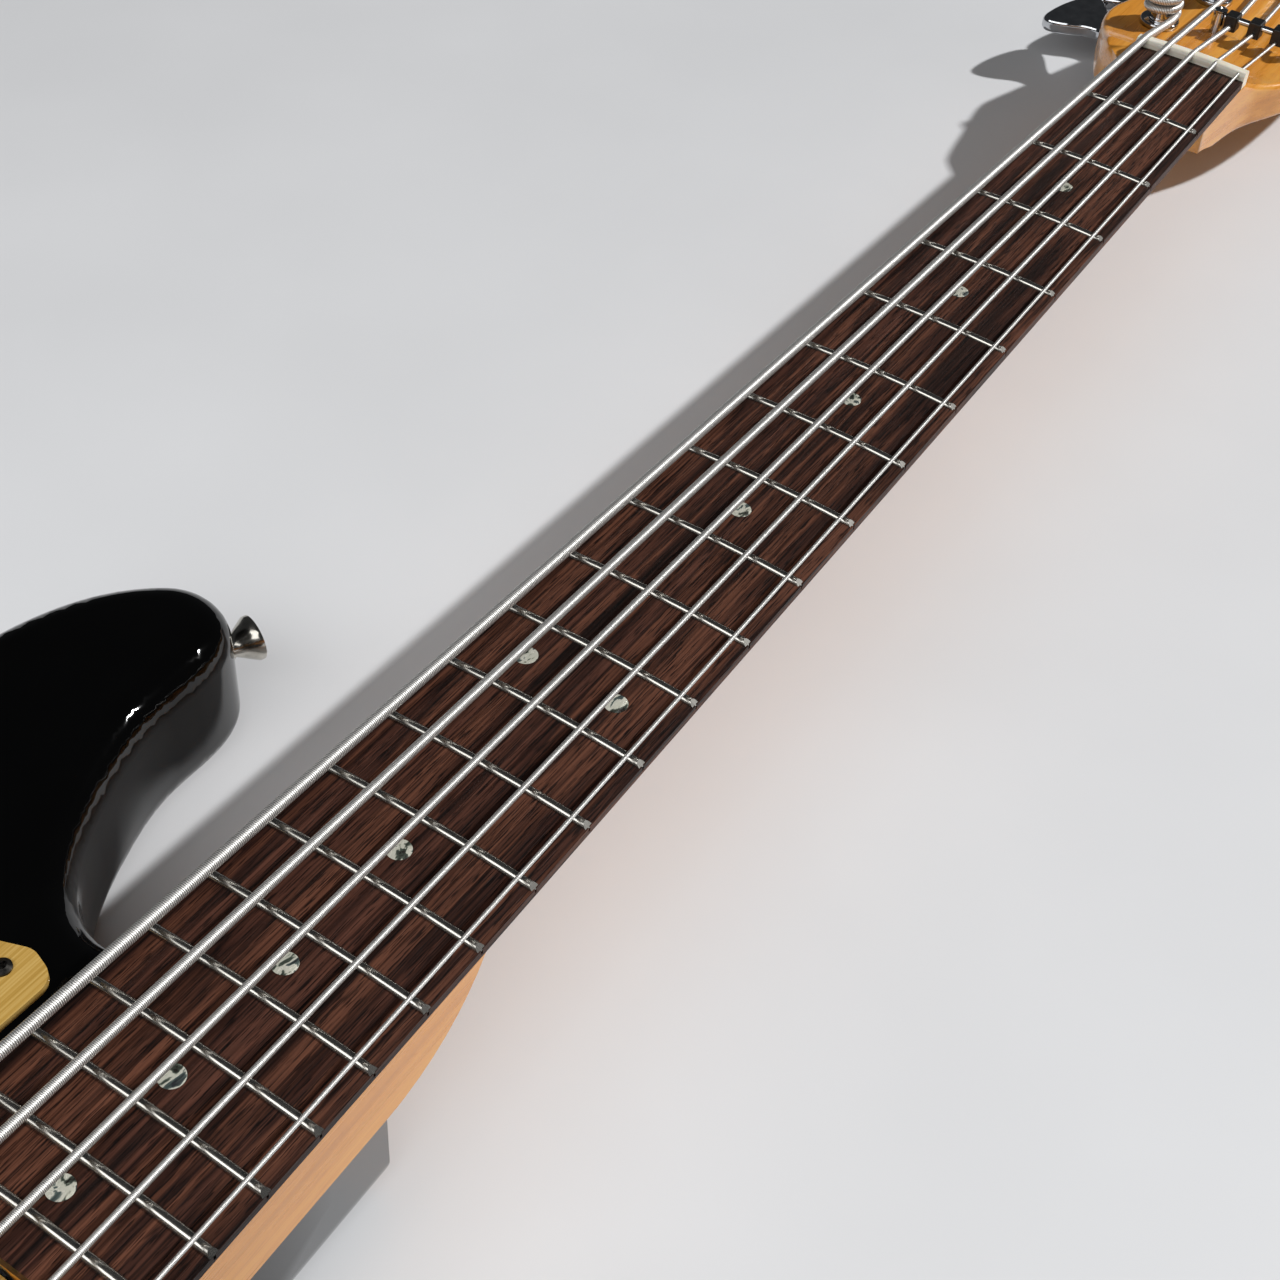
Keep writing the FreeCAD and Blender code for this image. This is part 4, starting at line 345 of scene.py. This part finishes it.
# Nut: a strip of bleached bone across the end of the board, filed with a slot for each string.
# Bone is ivory white with faint grain and a soft polish that lets a little light in.
bone, tree, shader, place = new_material("polished_bone")
fibres = add(tree, "ShaderNodeMapping", {
    "Vector": place, "Scale": [per_metre(2), per_metre(9), per_metre(0.7)]})
fibre = add(tree, "ShaderNodeTexNoise", {"Vector": fibres, "Scale": 1.0, "Detail": 4.0})
connect(tree, shader, {
    "Base Color": add(tree, "ShaderNodeValToRGB", {"Fac": fibre}, [(0.3, "#ECE3CC"), (0.65, "#FAF4E6")]),
    "Roughness": add(tree, "ShaderNodeMapRange", {"Value": fibre, "To Min": 0.22, "To Max": 0.4}),
    "IOR": 1.54,
    "Subsurface Weight": 0.1,
    "Subsurface Scale": 1 * MM,
})
dress(bone, "nut")

# Tuners: cast housings, turned posts and bushings and flared keys, all chrome plated.
# Each key turns a worm that turns its post through a wheel inside the housing.
STRING_LETTERS = "beadg"
dress(chrome, "tuner_screws")
polish(chrome, "chrome", "tuner_housings", "tuner_bushings")
polish(chrome, "chrome", *["tuner_post_" + letter for letter in STRING_LETTERS])
polish(chrome, "chrome", *["tuner_key_" + letter for letter in STRING_LETTERS])

# String retainer: a chrome rod on two screwed feet, with a black moulded guide over each thin string.
# The guides are acetal, with the dull even skin of a moulding.
polish(chrome, "chrome", "string_retainer", "small_screws")
black_acetal, tree, shader, place = new_material("moulded_black_acetal")
skin = add(tree, "ShaderNodeTexNoise", {"Vector": place, "Scale": per_metre(0.4), "Detail": 3.0})
connect(tree, shader, {
    "Base Color": add(tree, "ShaderNodeValToRGB", {"Fac": skin}, [(0.3, "#0B0B0C"), (0.7, "#161617")]),
    "Roughness": add(tree, "ShaderNodeMapRange", {"Value": skin, "To Min": 0.32, "To Max": 0.5}),
    "Normal": add(tree, "ShaderNodeBump", {"Height": skin, "Distance": 0.02 * MM}),
    "IOR": 1.48,
})
dress(black_acetal, "retainer_blocks")

# Pickguard: thin aluminium sheet, brushed one way and anodised gold, held by blackened screws.
# The porous anodic layer holds a gold dye, so it is half metal and half paint to the eye.
gold, tree, shader, place = new_material("gold_anodised_brushed_aluminium")
strokes = add(tree, "ShaderNodeMapping", {
    "Vector": place, "Scale": [per_metre(70), per_metre(0.6), per_metre(70)]})
brushing = add(tree, "ShaderNodeTexNoise", {"Vector": strokes, "Scale": 1.0, "Detail": 3.0})
connect(tree, shader, {
    "Base Color": add(tree, "ShaderNodeValToRGB", {"Fac": brushing}, [
        (0.25, "#C29540"), (0.5, "#DCB05A"), (0.75, "#EEC97A")]),
    "Roughness": add(tree, "ShaderNodeMapRange", {"Value": brushing, "To Min": 0.28, "To Max": 0.45}),
    "Normal": add(tree, "ShaderNodeBump", {"Height": brushing, "Distance": 0.01 * MM}),
    "Metallic": 0.4,
    "Anisotropic": 0.6,
})
dress(gold, "pickguard")

black_oxide, tree, shader, place = new_material("black_oxide_steel")
oxide = add(tree, "ShaderNodeTexNoise", {"Vector": place, "Scale": per_metre(0.8), "Detail": 4.0})
connect(tree, shader, {
    "Base Color": add(tree, "ShaderNodeValToRGB", {"Fac": oxide}, [(0.3, "#1B1A19"), (0.7, "#35332F")]),
    "Roughness": add(tree, "ShaderNodeMapRange", {"Value": oxide, "To Min": 0.3, "To Max": 0.5}),
    "Metallic": 0.85,
})
dress(black_oxide, "pickguard_screws")

# Pickups: moulded covers over wound coils, with two steel poles under each string.
# The covers have the fine grain of moulded ABS; the coils are lacquered copper wire.
abs_cover, tree, shader, place = new_material("grained_black_abs")
grain = add(tree, "ShaderNodeTexNoise", {"Vector": place, "Scale": per_metre(0.7), "Detail": 4.0})
connect(tree, shader, {
    "Base Color": add(tree, "ShaderNodeValToRGB", {"Fac": grain}, [(0.3, "#0C0C0C"), (0.7, "#171718")]),
    "Roughness": add(tree, "ShaderNodeMapRange", {"Value": grain, "To Min": 0.3, "To Max": 0.45}),
    "Normal": add(tree, "ShaderNodeBump", {"Height": grain, "Distance": 0.03 * MM}),
    "IOR": 1.54,
})
dress(abs_cover, "neck_pickup_cover", "bridge_pickup_cover")

copper, tree, shader, place = new_material("lacquered_copper_wire")
turns = add(
    tree, "ShaderNodeTexWave", {"Vector": place, "Scale": per_metre(2), "Distortion": 0.4},
    bands_direction="Z").outputs["Fac"]
connect(tree, shader, {
    "Base Color": add(tree, "ShaderNodeValToRGB", {"Fac": turns}, [(0.2, "#5A2410"), (0.8, "#B5673A")]),
    "Roughness": add(tree, "ShaderNodeMapRange", {"Value": turns, "To Min": 0.3, "To Max": 0.5}),
    "Normal": add(tree, "ShaderNodeBump", {"Height": turns, "Distance": 0.1 * MM}),
    "Metallic": 1.0,
})
dress(copper, "pickup_coils")
dress(chrome, "pickup_screws")
dress(zinc_steel, "pole_pieces")

# Bridge: a folded steel plate with saddles that slide along it on long screws.
# Plate and screws are chromed; the saddles are nickel-plated brass with a softer shine.
satin_nickel, tree, shader, place = new_material("satin_nickel_plate")
wear = add(tree, "ShaderNodeTexNoise", {"Vector": place, "Scale": per_metre(3), "Detail": 5.0})
connect(tree, shader, {
    "Base Color": add(tree, "ShaderNodeValToRGB", {"Fac": wear}, [(0.3, "#A8A49B"), (0.7, "#CFCBC2")]),
    "Roughness": add(tree, "ShaderNodeMapRange", {"Value": wear, "To Min": 0.1, "To Max": 0.26}),
    "Metallic": 1.0,
})
dress(chrome, "bridge_plate", "bridge_screws")
dress(satin_nickel, *["saddle_" + letter for letter in STRING_LETTERS])
dress(zinc_steel, *["intonation_screw_" + letter for letter in STRING_LETTERS])

# Controls: a chrome plate over the cavity, with three knobs on their pots and the output jack.
# The tone capacitor is a film part dipped in resin.
dress(chrome, "control_plate", "panel_nuts")
polish(chrome, "chrome", "volume_knob_neck", "volume_knob_bridge", "tone_knob")
dress(zinc_steel, "potentiometers", "output_jack")
dipped_resin, tree, shader, place = new_material("dipped_orange_resin")
dip = add(tree, "ShaderNodeTexNoise", {"Vector": place, "Scale": per_metre(3), "Detail": 3.0})
connect(tree, shader, {
    "Base Color": add(tree, "ShaderNodeValToRGB", {"Fac": dip}, [(0.3, "#8C3A0E"), (0.7, "#B4541A")]),
    "Roughness": add(tree, "ShaderNodeMapRange", {"Value": dip, "To Min": 0.15, "To Max": 0.3}),
    "IOR": 1.5,
})
dress(dipped_resin, "tone_capacitor")

# Strap buttons: turned and nickel plated, one at the horn and one at the tail.
# Each has a waist that holds the strap, and a screw through its middle into the body.
polish(satin_nickel, "nickel", "strap_buttons", "strap_button_screws")

# Strings: steel cores wound with nickel wire, anchored by a ball, stretched over saddle and nut,
# and wound up the tuner post, where the end bends into the slot of the post.
STRING_SIDES = 16
BEND_STEPS = 4
SLOT_STEPS = 12
TURN_STEPS = 28
CORNER_REACH = 2.2 * MM
WINDING_HEIGHT = 8.9 * MM
SLOT_TURN = math.radians(144.9)
RIDGE_HEIGHT = 0.15  # as a share of the wrap wire's thickness

# Each string in millimetres: its thickness and wrap wire, its turns on the post, the radius that it winds
# at and the radius of its bend into the slot, the place of the post, and its route: ball, saddle, nut,
# retainer where it has one, and two points at the post.
strings = {
    "b": {"diameter": 3.30, "wrap": 0.55, "turns": 2.25, "radius": 6.35, "bend": 2.857,
          "post": (907.1, 28.5),
          "route": [(-36.3, 36.5, 56.0), (-6.0, 36.5, 58.22), (866.1, 19.85, 55.74),
                    (900.47, 21.77, 47.7), (907.45, 22.16, 47.7)]},
    "e": {"diameter": 2.67, "wrap": 0.46, "turns": 2.75, "radius": 6.035, "bend": 2.716,
          "post": (942.1, 18.5),
          "route": [(-36.3, 18.25, 56.0), (-4.8, 18.25, 59.2), (866.1, 9.93, 55.81),
                    (935.3, 12.23, 47.7), (942.3, 12.47, 47.7)]},
    "a": {"diameter": 2.16, "wrap": 0.42, "turns": 3.25, "radius": 5.78, "bend": 2.601,
          "post": (977.1, 8.49),
          "route": [(-36.3, 0.0, 56.0), (-3.6, 0.0, 59.38), (866.1, 0.0, 55.68), (915.6, 1.21, 46.7),
                    (970.24, 2.55, 47.7), (977.24, 2.72, 47.7)]},
    "d": {"diameter": 1.65, "wrap": 0.36, "turns": 4.0, "radius": 5.525, "bend": 2.486,
          "post": (1012.1, -1.51),
          "route": [(-36.3, -18.25, 56.0), (-2.1, -18.25, 58.69), (866.1, -9.93, 55.3), (915.6, -8.94, 46.7),
                    (1005.21, -7.17, 47.7), (1012.21, -7.03, 47.7)]},
    "g": {"diameter": 1.14, "wrap": 0.28, "turns": 5.25, "radius": 5.27, "bend": 2.372,
          "post": (1047.09, -11.51),
          "route": [(-36.3, -36.5, 56.0), (-0.6, -36.5, 57.14), (866.1, -19.85, 54.66), (915.6, -19.01, 46.7),
                    (1040.19, -16.9, 47.7), (1047.18, -16.78, 47.7)]},
}


def edges_of(geometry):
    """The edges among mixed parts of a mesh."""
    return [g for g in geometry if isinstance(g, bmesh.types.BMEdge)]


def start_ring(bm, place, way, radius):
    """A ring of the string's section, square to the way it runs."""
    turn = way.to_track_quat("Z", "Y").to_matrix().to_4x4()
    bmesh.ops.create_circle(bm, segments=STRING_SIDES, radius=radius, matrix=Matrix.Translation(place) @ turn)
    return list(bm.edges)


def draw_on(bm, ring, step):
    """Draw the string straight on by one step."""
    drawn = bmesh.ops.extrude_edge_only(bm, edges=ring)["geom"]
    bmesh.ops.translate(bm, vec=step, verts=[g for g in drawn if isinstance(g, bmesh.types.BMVert)])
    return [edge for edge in edges_of(drawn) if edge.is_boundary]


def string_piece(name, bm, material):
    """Note each ring's distance along the string, close the string's ends, and make the piece."""
    bm.verts.ensure_lookup_table()
    run = bm.verts.layers.float.new("run")
    rings = [bm.verts[i:i + STRING_SIDES] for i in range(0, len(bm.verts), STRING_SIDES)]
    travelled = 0.0
    last = None
    for ring in rings:
        middle = sum((vert.co for vert in ring), Vector()) / STRING_SIDES
        travelled += (middle - last).length if last else 0.0
        last = middle
        for vert in ring:
            vert[run] = travelled
    bmesh.ops.holes_fill(bm, edges=[edge for edge in bm.edges if edge.is_boundary])
    bmesh.ops.recalc_face_normals(bm, faces=bm.faces)
    for face in bm.faces:
        face.smooth = len(face.verts) == 4
    return new_piece(name, bm, material)


def wound_nickel(letter, wrap_mm):
    """Round nickel wire wound tight on the core: a bump ridge for each turn, with painted shade darkening the
    valley between turns.
    """
    material, tree, shader, _ = new_material("round_wound_nickel_" + letter)
    run = add(tree, "ShaderNodeAttribute", {}, attribute_name="run").outputs["Fac"]
    phase = add(tree, "ShaderNodeMath", {0: run, 1: 2 * math.pi * per_metre(wrap_mm)}, operation="MULTIPLY")
    ridge = add(tree, "ShaderNodeMath", {0: phase}, operation="SINE")
    ridge_height_and_painted_shade = add(tree, "ShaderNodeMapRange", {"Value": ridge, "From Min": -1.0})
    connect(tree, shader, {
        # The base colour runs from dark in each valley to pale on each ridge: painted shade between the
        # turns.
        "Base Color": add(tree, "ShaderNodeValToRGB", {"Fac": ridge_height_and_painted_shade}, [
            (0.0, "#66645F"), (0.25, "#D5D3CE"), (0.5, "#F6F4F0"), (1.0, "#FCFBF8")]),
        "Roughness": add(tree, "ShaderNodeMapRange", {"Value": ridge_height_and_painted_shade, "To Min": 0.5, "To Max": 0.42}),
        "Normal": add(tree, "ShaderNodeBump", {"Height": ridge_height_and_painted_shade, "Distance": RIDGE_HEIGHT * wrap_mm * MM}),
        "Metallic": 0.9,
    })
    return material


for letter, string in strings.items():
    material = wound_nickel(letter, string["wrap"])
    radius = string["diameter"] / 2 * MM
    route = [Vector(point) * MM for point in string["route"]]
    ways = [(b - a).normalized() for a, b in zip(route, route[1:])]
    bm = bmesh.new()
    ring = start_ring(bm, route[0], ways[0], radius)
    here = route[0]
    for corner, into, out in zip(route[1:], ways, ways[1:]):
        bend_start = corner - into * CORNER_REACH
        ring = draw_on(bm, ring, bend_start - here)
        axis = into.cross(out).normalized()
        angle = into.angle(out)
        arm = axis.cross(into) * CORNER_REACH / math.tan(angle / 2)
        bent = bmesh.ops.spin(bm, geom=ring, cent=bend_start + arm, axis=axis, angle=angle, steps=BEND_STEPS)
        ring = edges_of(bent["geom_last"])
        here = corner + out * CORNER_REACH
    draw_on(bm, ring, route[-1] - here)
    piece = string_piece("string_run_" + letter, bm, material)
    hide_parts("string_" + letter)
    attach(piece, "instrument")

    post = Vector((*string["post"], 0)) * MM
    bm = bmesh.new()
    ring = start_ring(bm, route[-1], Vector((ways[-1].x, ways[-1].y, 0)), radius)
    steps = round(TURN_STEPS * string["turns"])
    angle = 2 * math.pi * string["turns"]
    climb = Vector((0, 0, WINDING_HEIGHT / steps))
    wound = bmesh.ops.spin(bm, geom=ring, cent=post, axis=(0, 0, 1), dvec=climb, angle=angle, steps=steps)
    ring = edges_of(wound["geom_last"])
    out_way = (Matrix.Rotation(angle, 3, "Z") @ (route[-1] - post).to_2d().to_3d()).normalized()
    slot_centre = post + out_way * (string["radius"] - string["bend"]) * MM
    bent = bmesh.ops.spin(
        bm, geom=ring, cent=slot_centre, axis=(0, 0, 1), angle=SLOT_TURN, steps=SLOT_STEPS)
    ring = edges_of(bent["geom_last"])
    tail = Matrix.Rotation(angle + SLOT_TURN, 3, "Z") @ Vector((ways[-1].x, ways[-1].y, 0))
    draw_on(bm, ring, tail.normalized() * 2 * radius)
    piece = string_piece("string_winding_" + letter, bm, material)
    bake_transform(piece)

# Ball ends: short brass barrels that hold each string behind the flange of the bridge.
# Turned brass is yellow, with rings from the tool.
BALL_RADIUS = 3.2 * MM
BALL_WIDTH = 5.6 * MM
BALL_ROUND = 0.6 * MM
BALL_SIDES = 32
ROUND_STEPS = 3
RIM_ANGLE = 1.0

brass, tree, shader, place = new_material("turned_brass")
rings = add(tree, "ShaderNodeMapping", {
    "Vector": place, "Scale": [per_metre(2), per_metre(0.2), per_metre(2)]})
tool = add(tree, "ShaderNodeTexNoise", {"Vector": rings, "Scale": 1.0, "Detail": 3.0})
connect(tree, shader, {
    "Base Color": add(tree, "ShaderNodeValToRGB", {"Fac": tool}, [(0.3, "#A8843C"), (0.7, "#D2B267")]),
    "Roughness": add(tree, "ShaderNodeMapRange", {"Value": tool, "To Min": 0.15, "To Max": 0.35}),
    "Metallic": 1.0,
})
bm = bmesh.new()
for string in strings.values():
    middle = Vector(string["route"][0]) * MM - Vector((BALL_RADIUS, 0, 0))
    lie = Matrix.Translation(middle) @ Matrix.Rotation(math.pi / 2, 4, "X")
    bmesh.ops.create_cone(
        bm, cap_ends=True, segments=BALL_SIDES, radius1=BALL_RADIUS, radius2=BALL_RADIUS,
        depth=BALL_WIDTH, matrix=lie)
rims = [edge for edge in bm.edges if edge.calc_face_angle() > RIM_ANGLE]
bmesh.ops.bevel(
    bm, geom=rims, offset=BALL_ROUND, affect="EDGES", segments=ROUND_STEPS, profile=0.5, material=-1)
balls = new_piece("string_balls", bm, brass)
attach(balls, "instrument")

# Studio: a pale sheet on the floor, a small strong lamp far beyond the headstock on the right,
# and two broad weak ones beside the body that open the shadows and draw a line along each fret.
FLOOR_HALF = 4.0
FLOOR_MIDDLE = (0.5, 0, -0.5 * MM)
bm = bmesh.new()
bmesh.ops.create_grid(
    bm, x_segments=1, y_segments=1, size=FLOOR_HALF, matrix=Matrix.Translation(FLOOR_MIDDLE))
mesh = bpy.data.meshes.new("studio_floor")
bm.to_mesh(mesh)
bm.free()
floor = bpy.data.objects.new("studio_floor", mesh)
bpy.context.scene.collection.objects.link(floor)
paper, tree, shader, place = new_material("matte_studio_paper")
mottle = add(tree, "ShaderNodeTexNoise", {"Vector": place, "Scale": per_metre(120), "Detail": 3.0})
connect(tree, shader, {
    "Base Color": add(tree, "ShaderNodeValToRGB", {"Fac": mottle}, [(0.3, "#DBDCDE"), (0.7, "#DFE0E2")]),
    "Roughness": add(tree, "ShaderNodeMapRange", {"Value": mottle, "To Min": 0.55, "To Max": 0.65}),
})
mesh.materials.append(paper)


def soft_lamp(name, place, target, width, power):
    """A square lamp aimed at a target."""
    light = bpy.data.lights.new(name, "AREA")
    light.size = width
    light.energy = power
    lamp = bpy.data.objects.new(name, light)
    lamp.location = place
    lamp.rotation_euler = (Vector(target) - Vector(place)).to_track_quat("-Z", "Y").to_euler()
    bpy.context.scene.collection.objects.link(lamp)


soft_lamp("key_softbox", place=(4.14, -3.02, 3.74), target=(0.3, 0.1, 0.0), width=0.2, power=360)
soft_lamp("left_fill", place=(-0.55, 0.41, 0.9), target=(0.4, 0.1, 0.0), width=0.7, power=4.4)
soft_lamp("near_fill", place=(-0.3, -0.22, 0.9), target=(0.4, 0.1, 0.0), width=0.8, power=4.2)

world = bpy.data.worlds.new("studio_sky")
world.use_nodes = True
sky = world.node_tree.nodes["Background"]
connect(world.node_tree, sky, {"Color": linear("#C8CBD0"), "Strength": 0.06})
bpy.context.scene.world = world

# Camera: above the body on the treble side, looking along the neck to the headstock.
# Its place, its turn and its lens were solved from frets, dots and nut in the photograph.
CAMERA_PLACE = (0.1531, -0.1928, 0.4195)
RIGHT = Vector((0.5576, -0.8281, 0.0574))
UP = Vector((0.5659, 0.4298, 0.7036))
AWAY = Vector((-0.6073, -0.3599, 0.7083))
camera_data = bpy.data.cameras.new("photo_camera")
camera_data.sensor_width = 36
camera_data.lens = 54.48
camera_data.clip_start = 0.01
camera = bpy.data.objects.new("photo_camera", camera_data)
camera_turn = Matrix((RIGHT, UP, AWAY)).transposed().to_4x4()
camera.matrix_world = Matrix.Translation(CAMERA_PLACE) @ camera_turn
bpy.context.scene.collection.objects.link(camera)
bpy.context.scene.camera = camera
bpy.context.scene.view_settings.view_transform = "Standard"
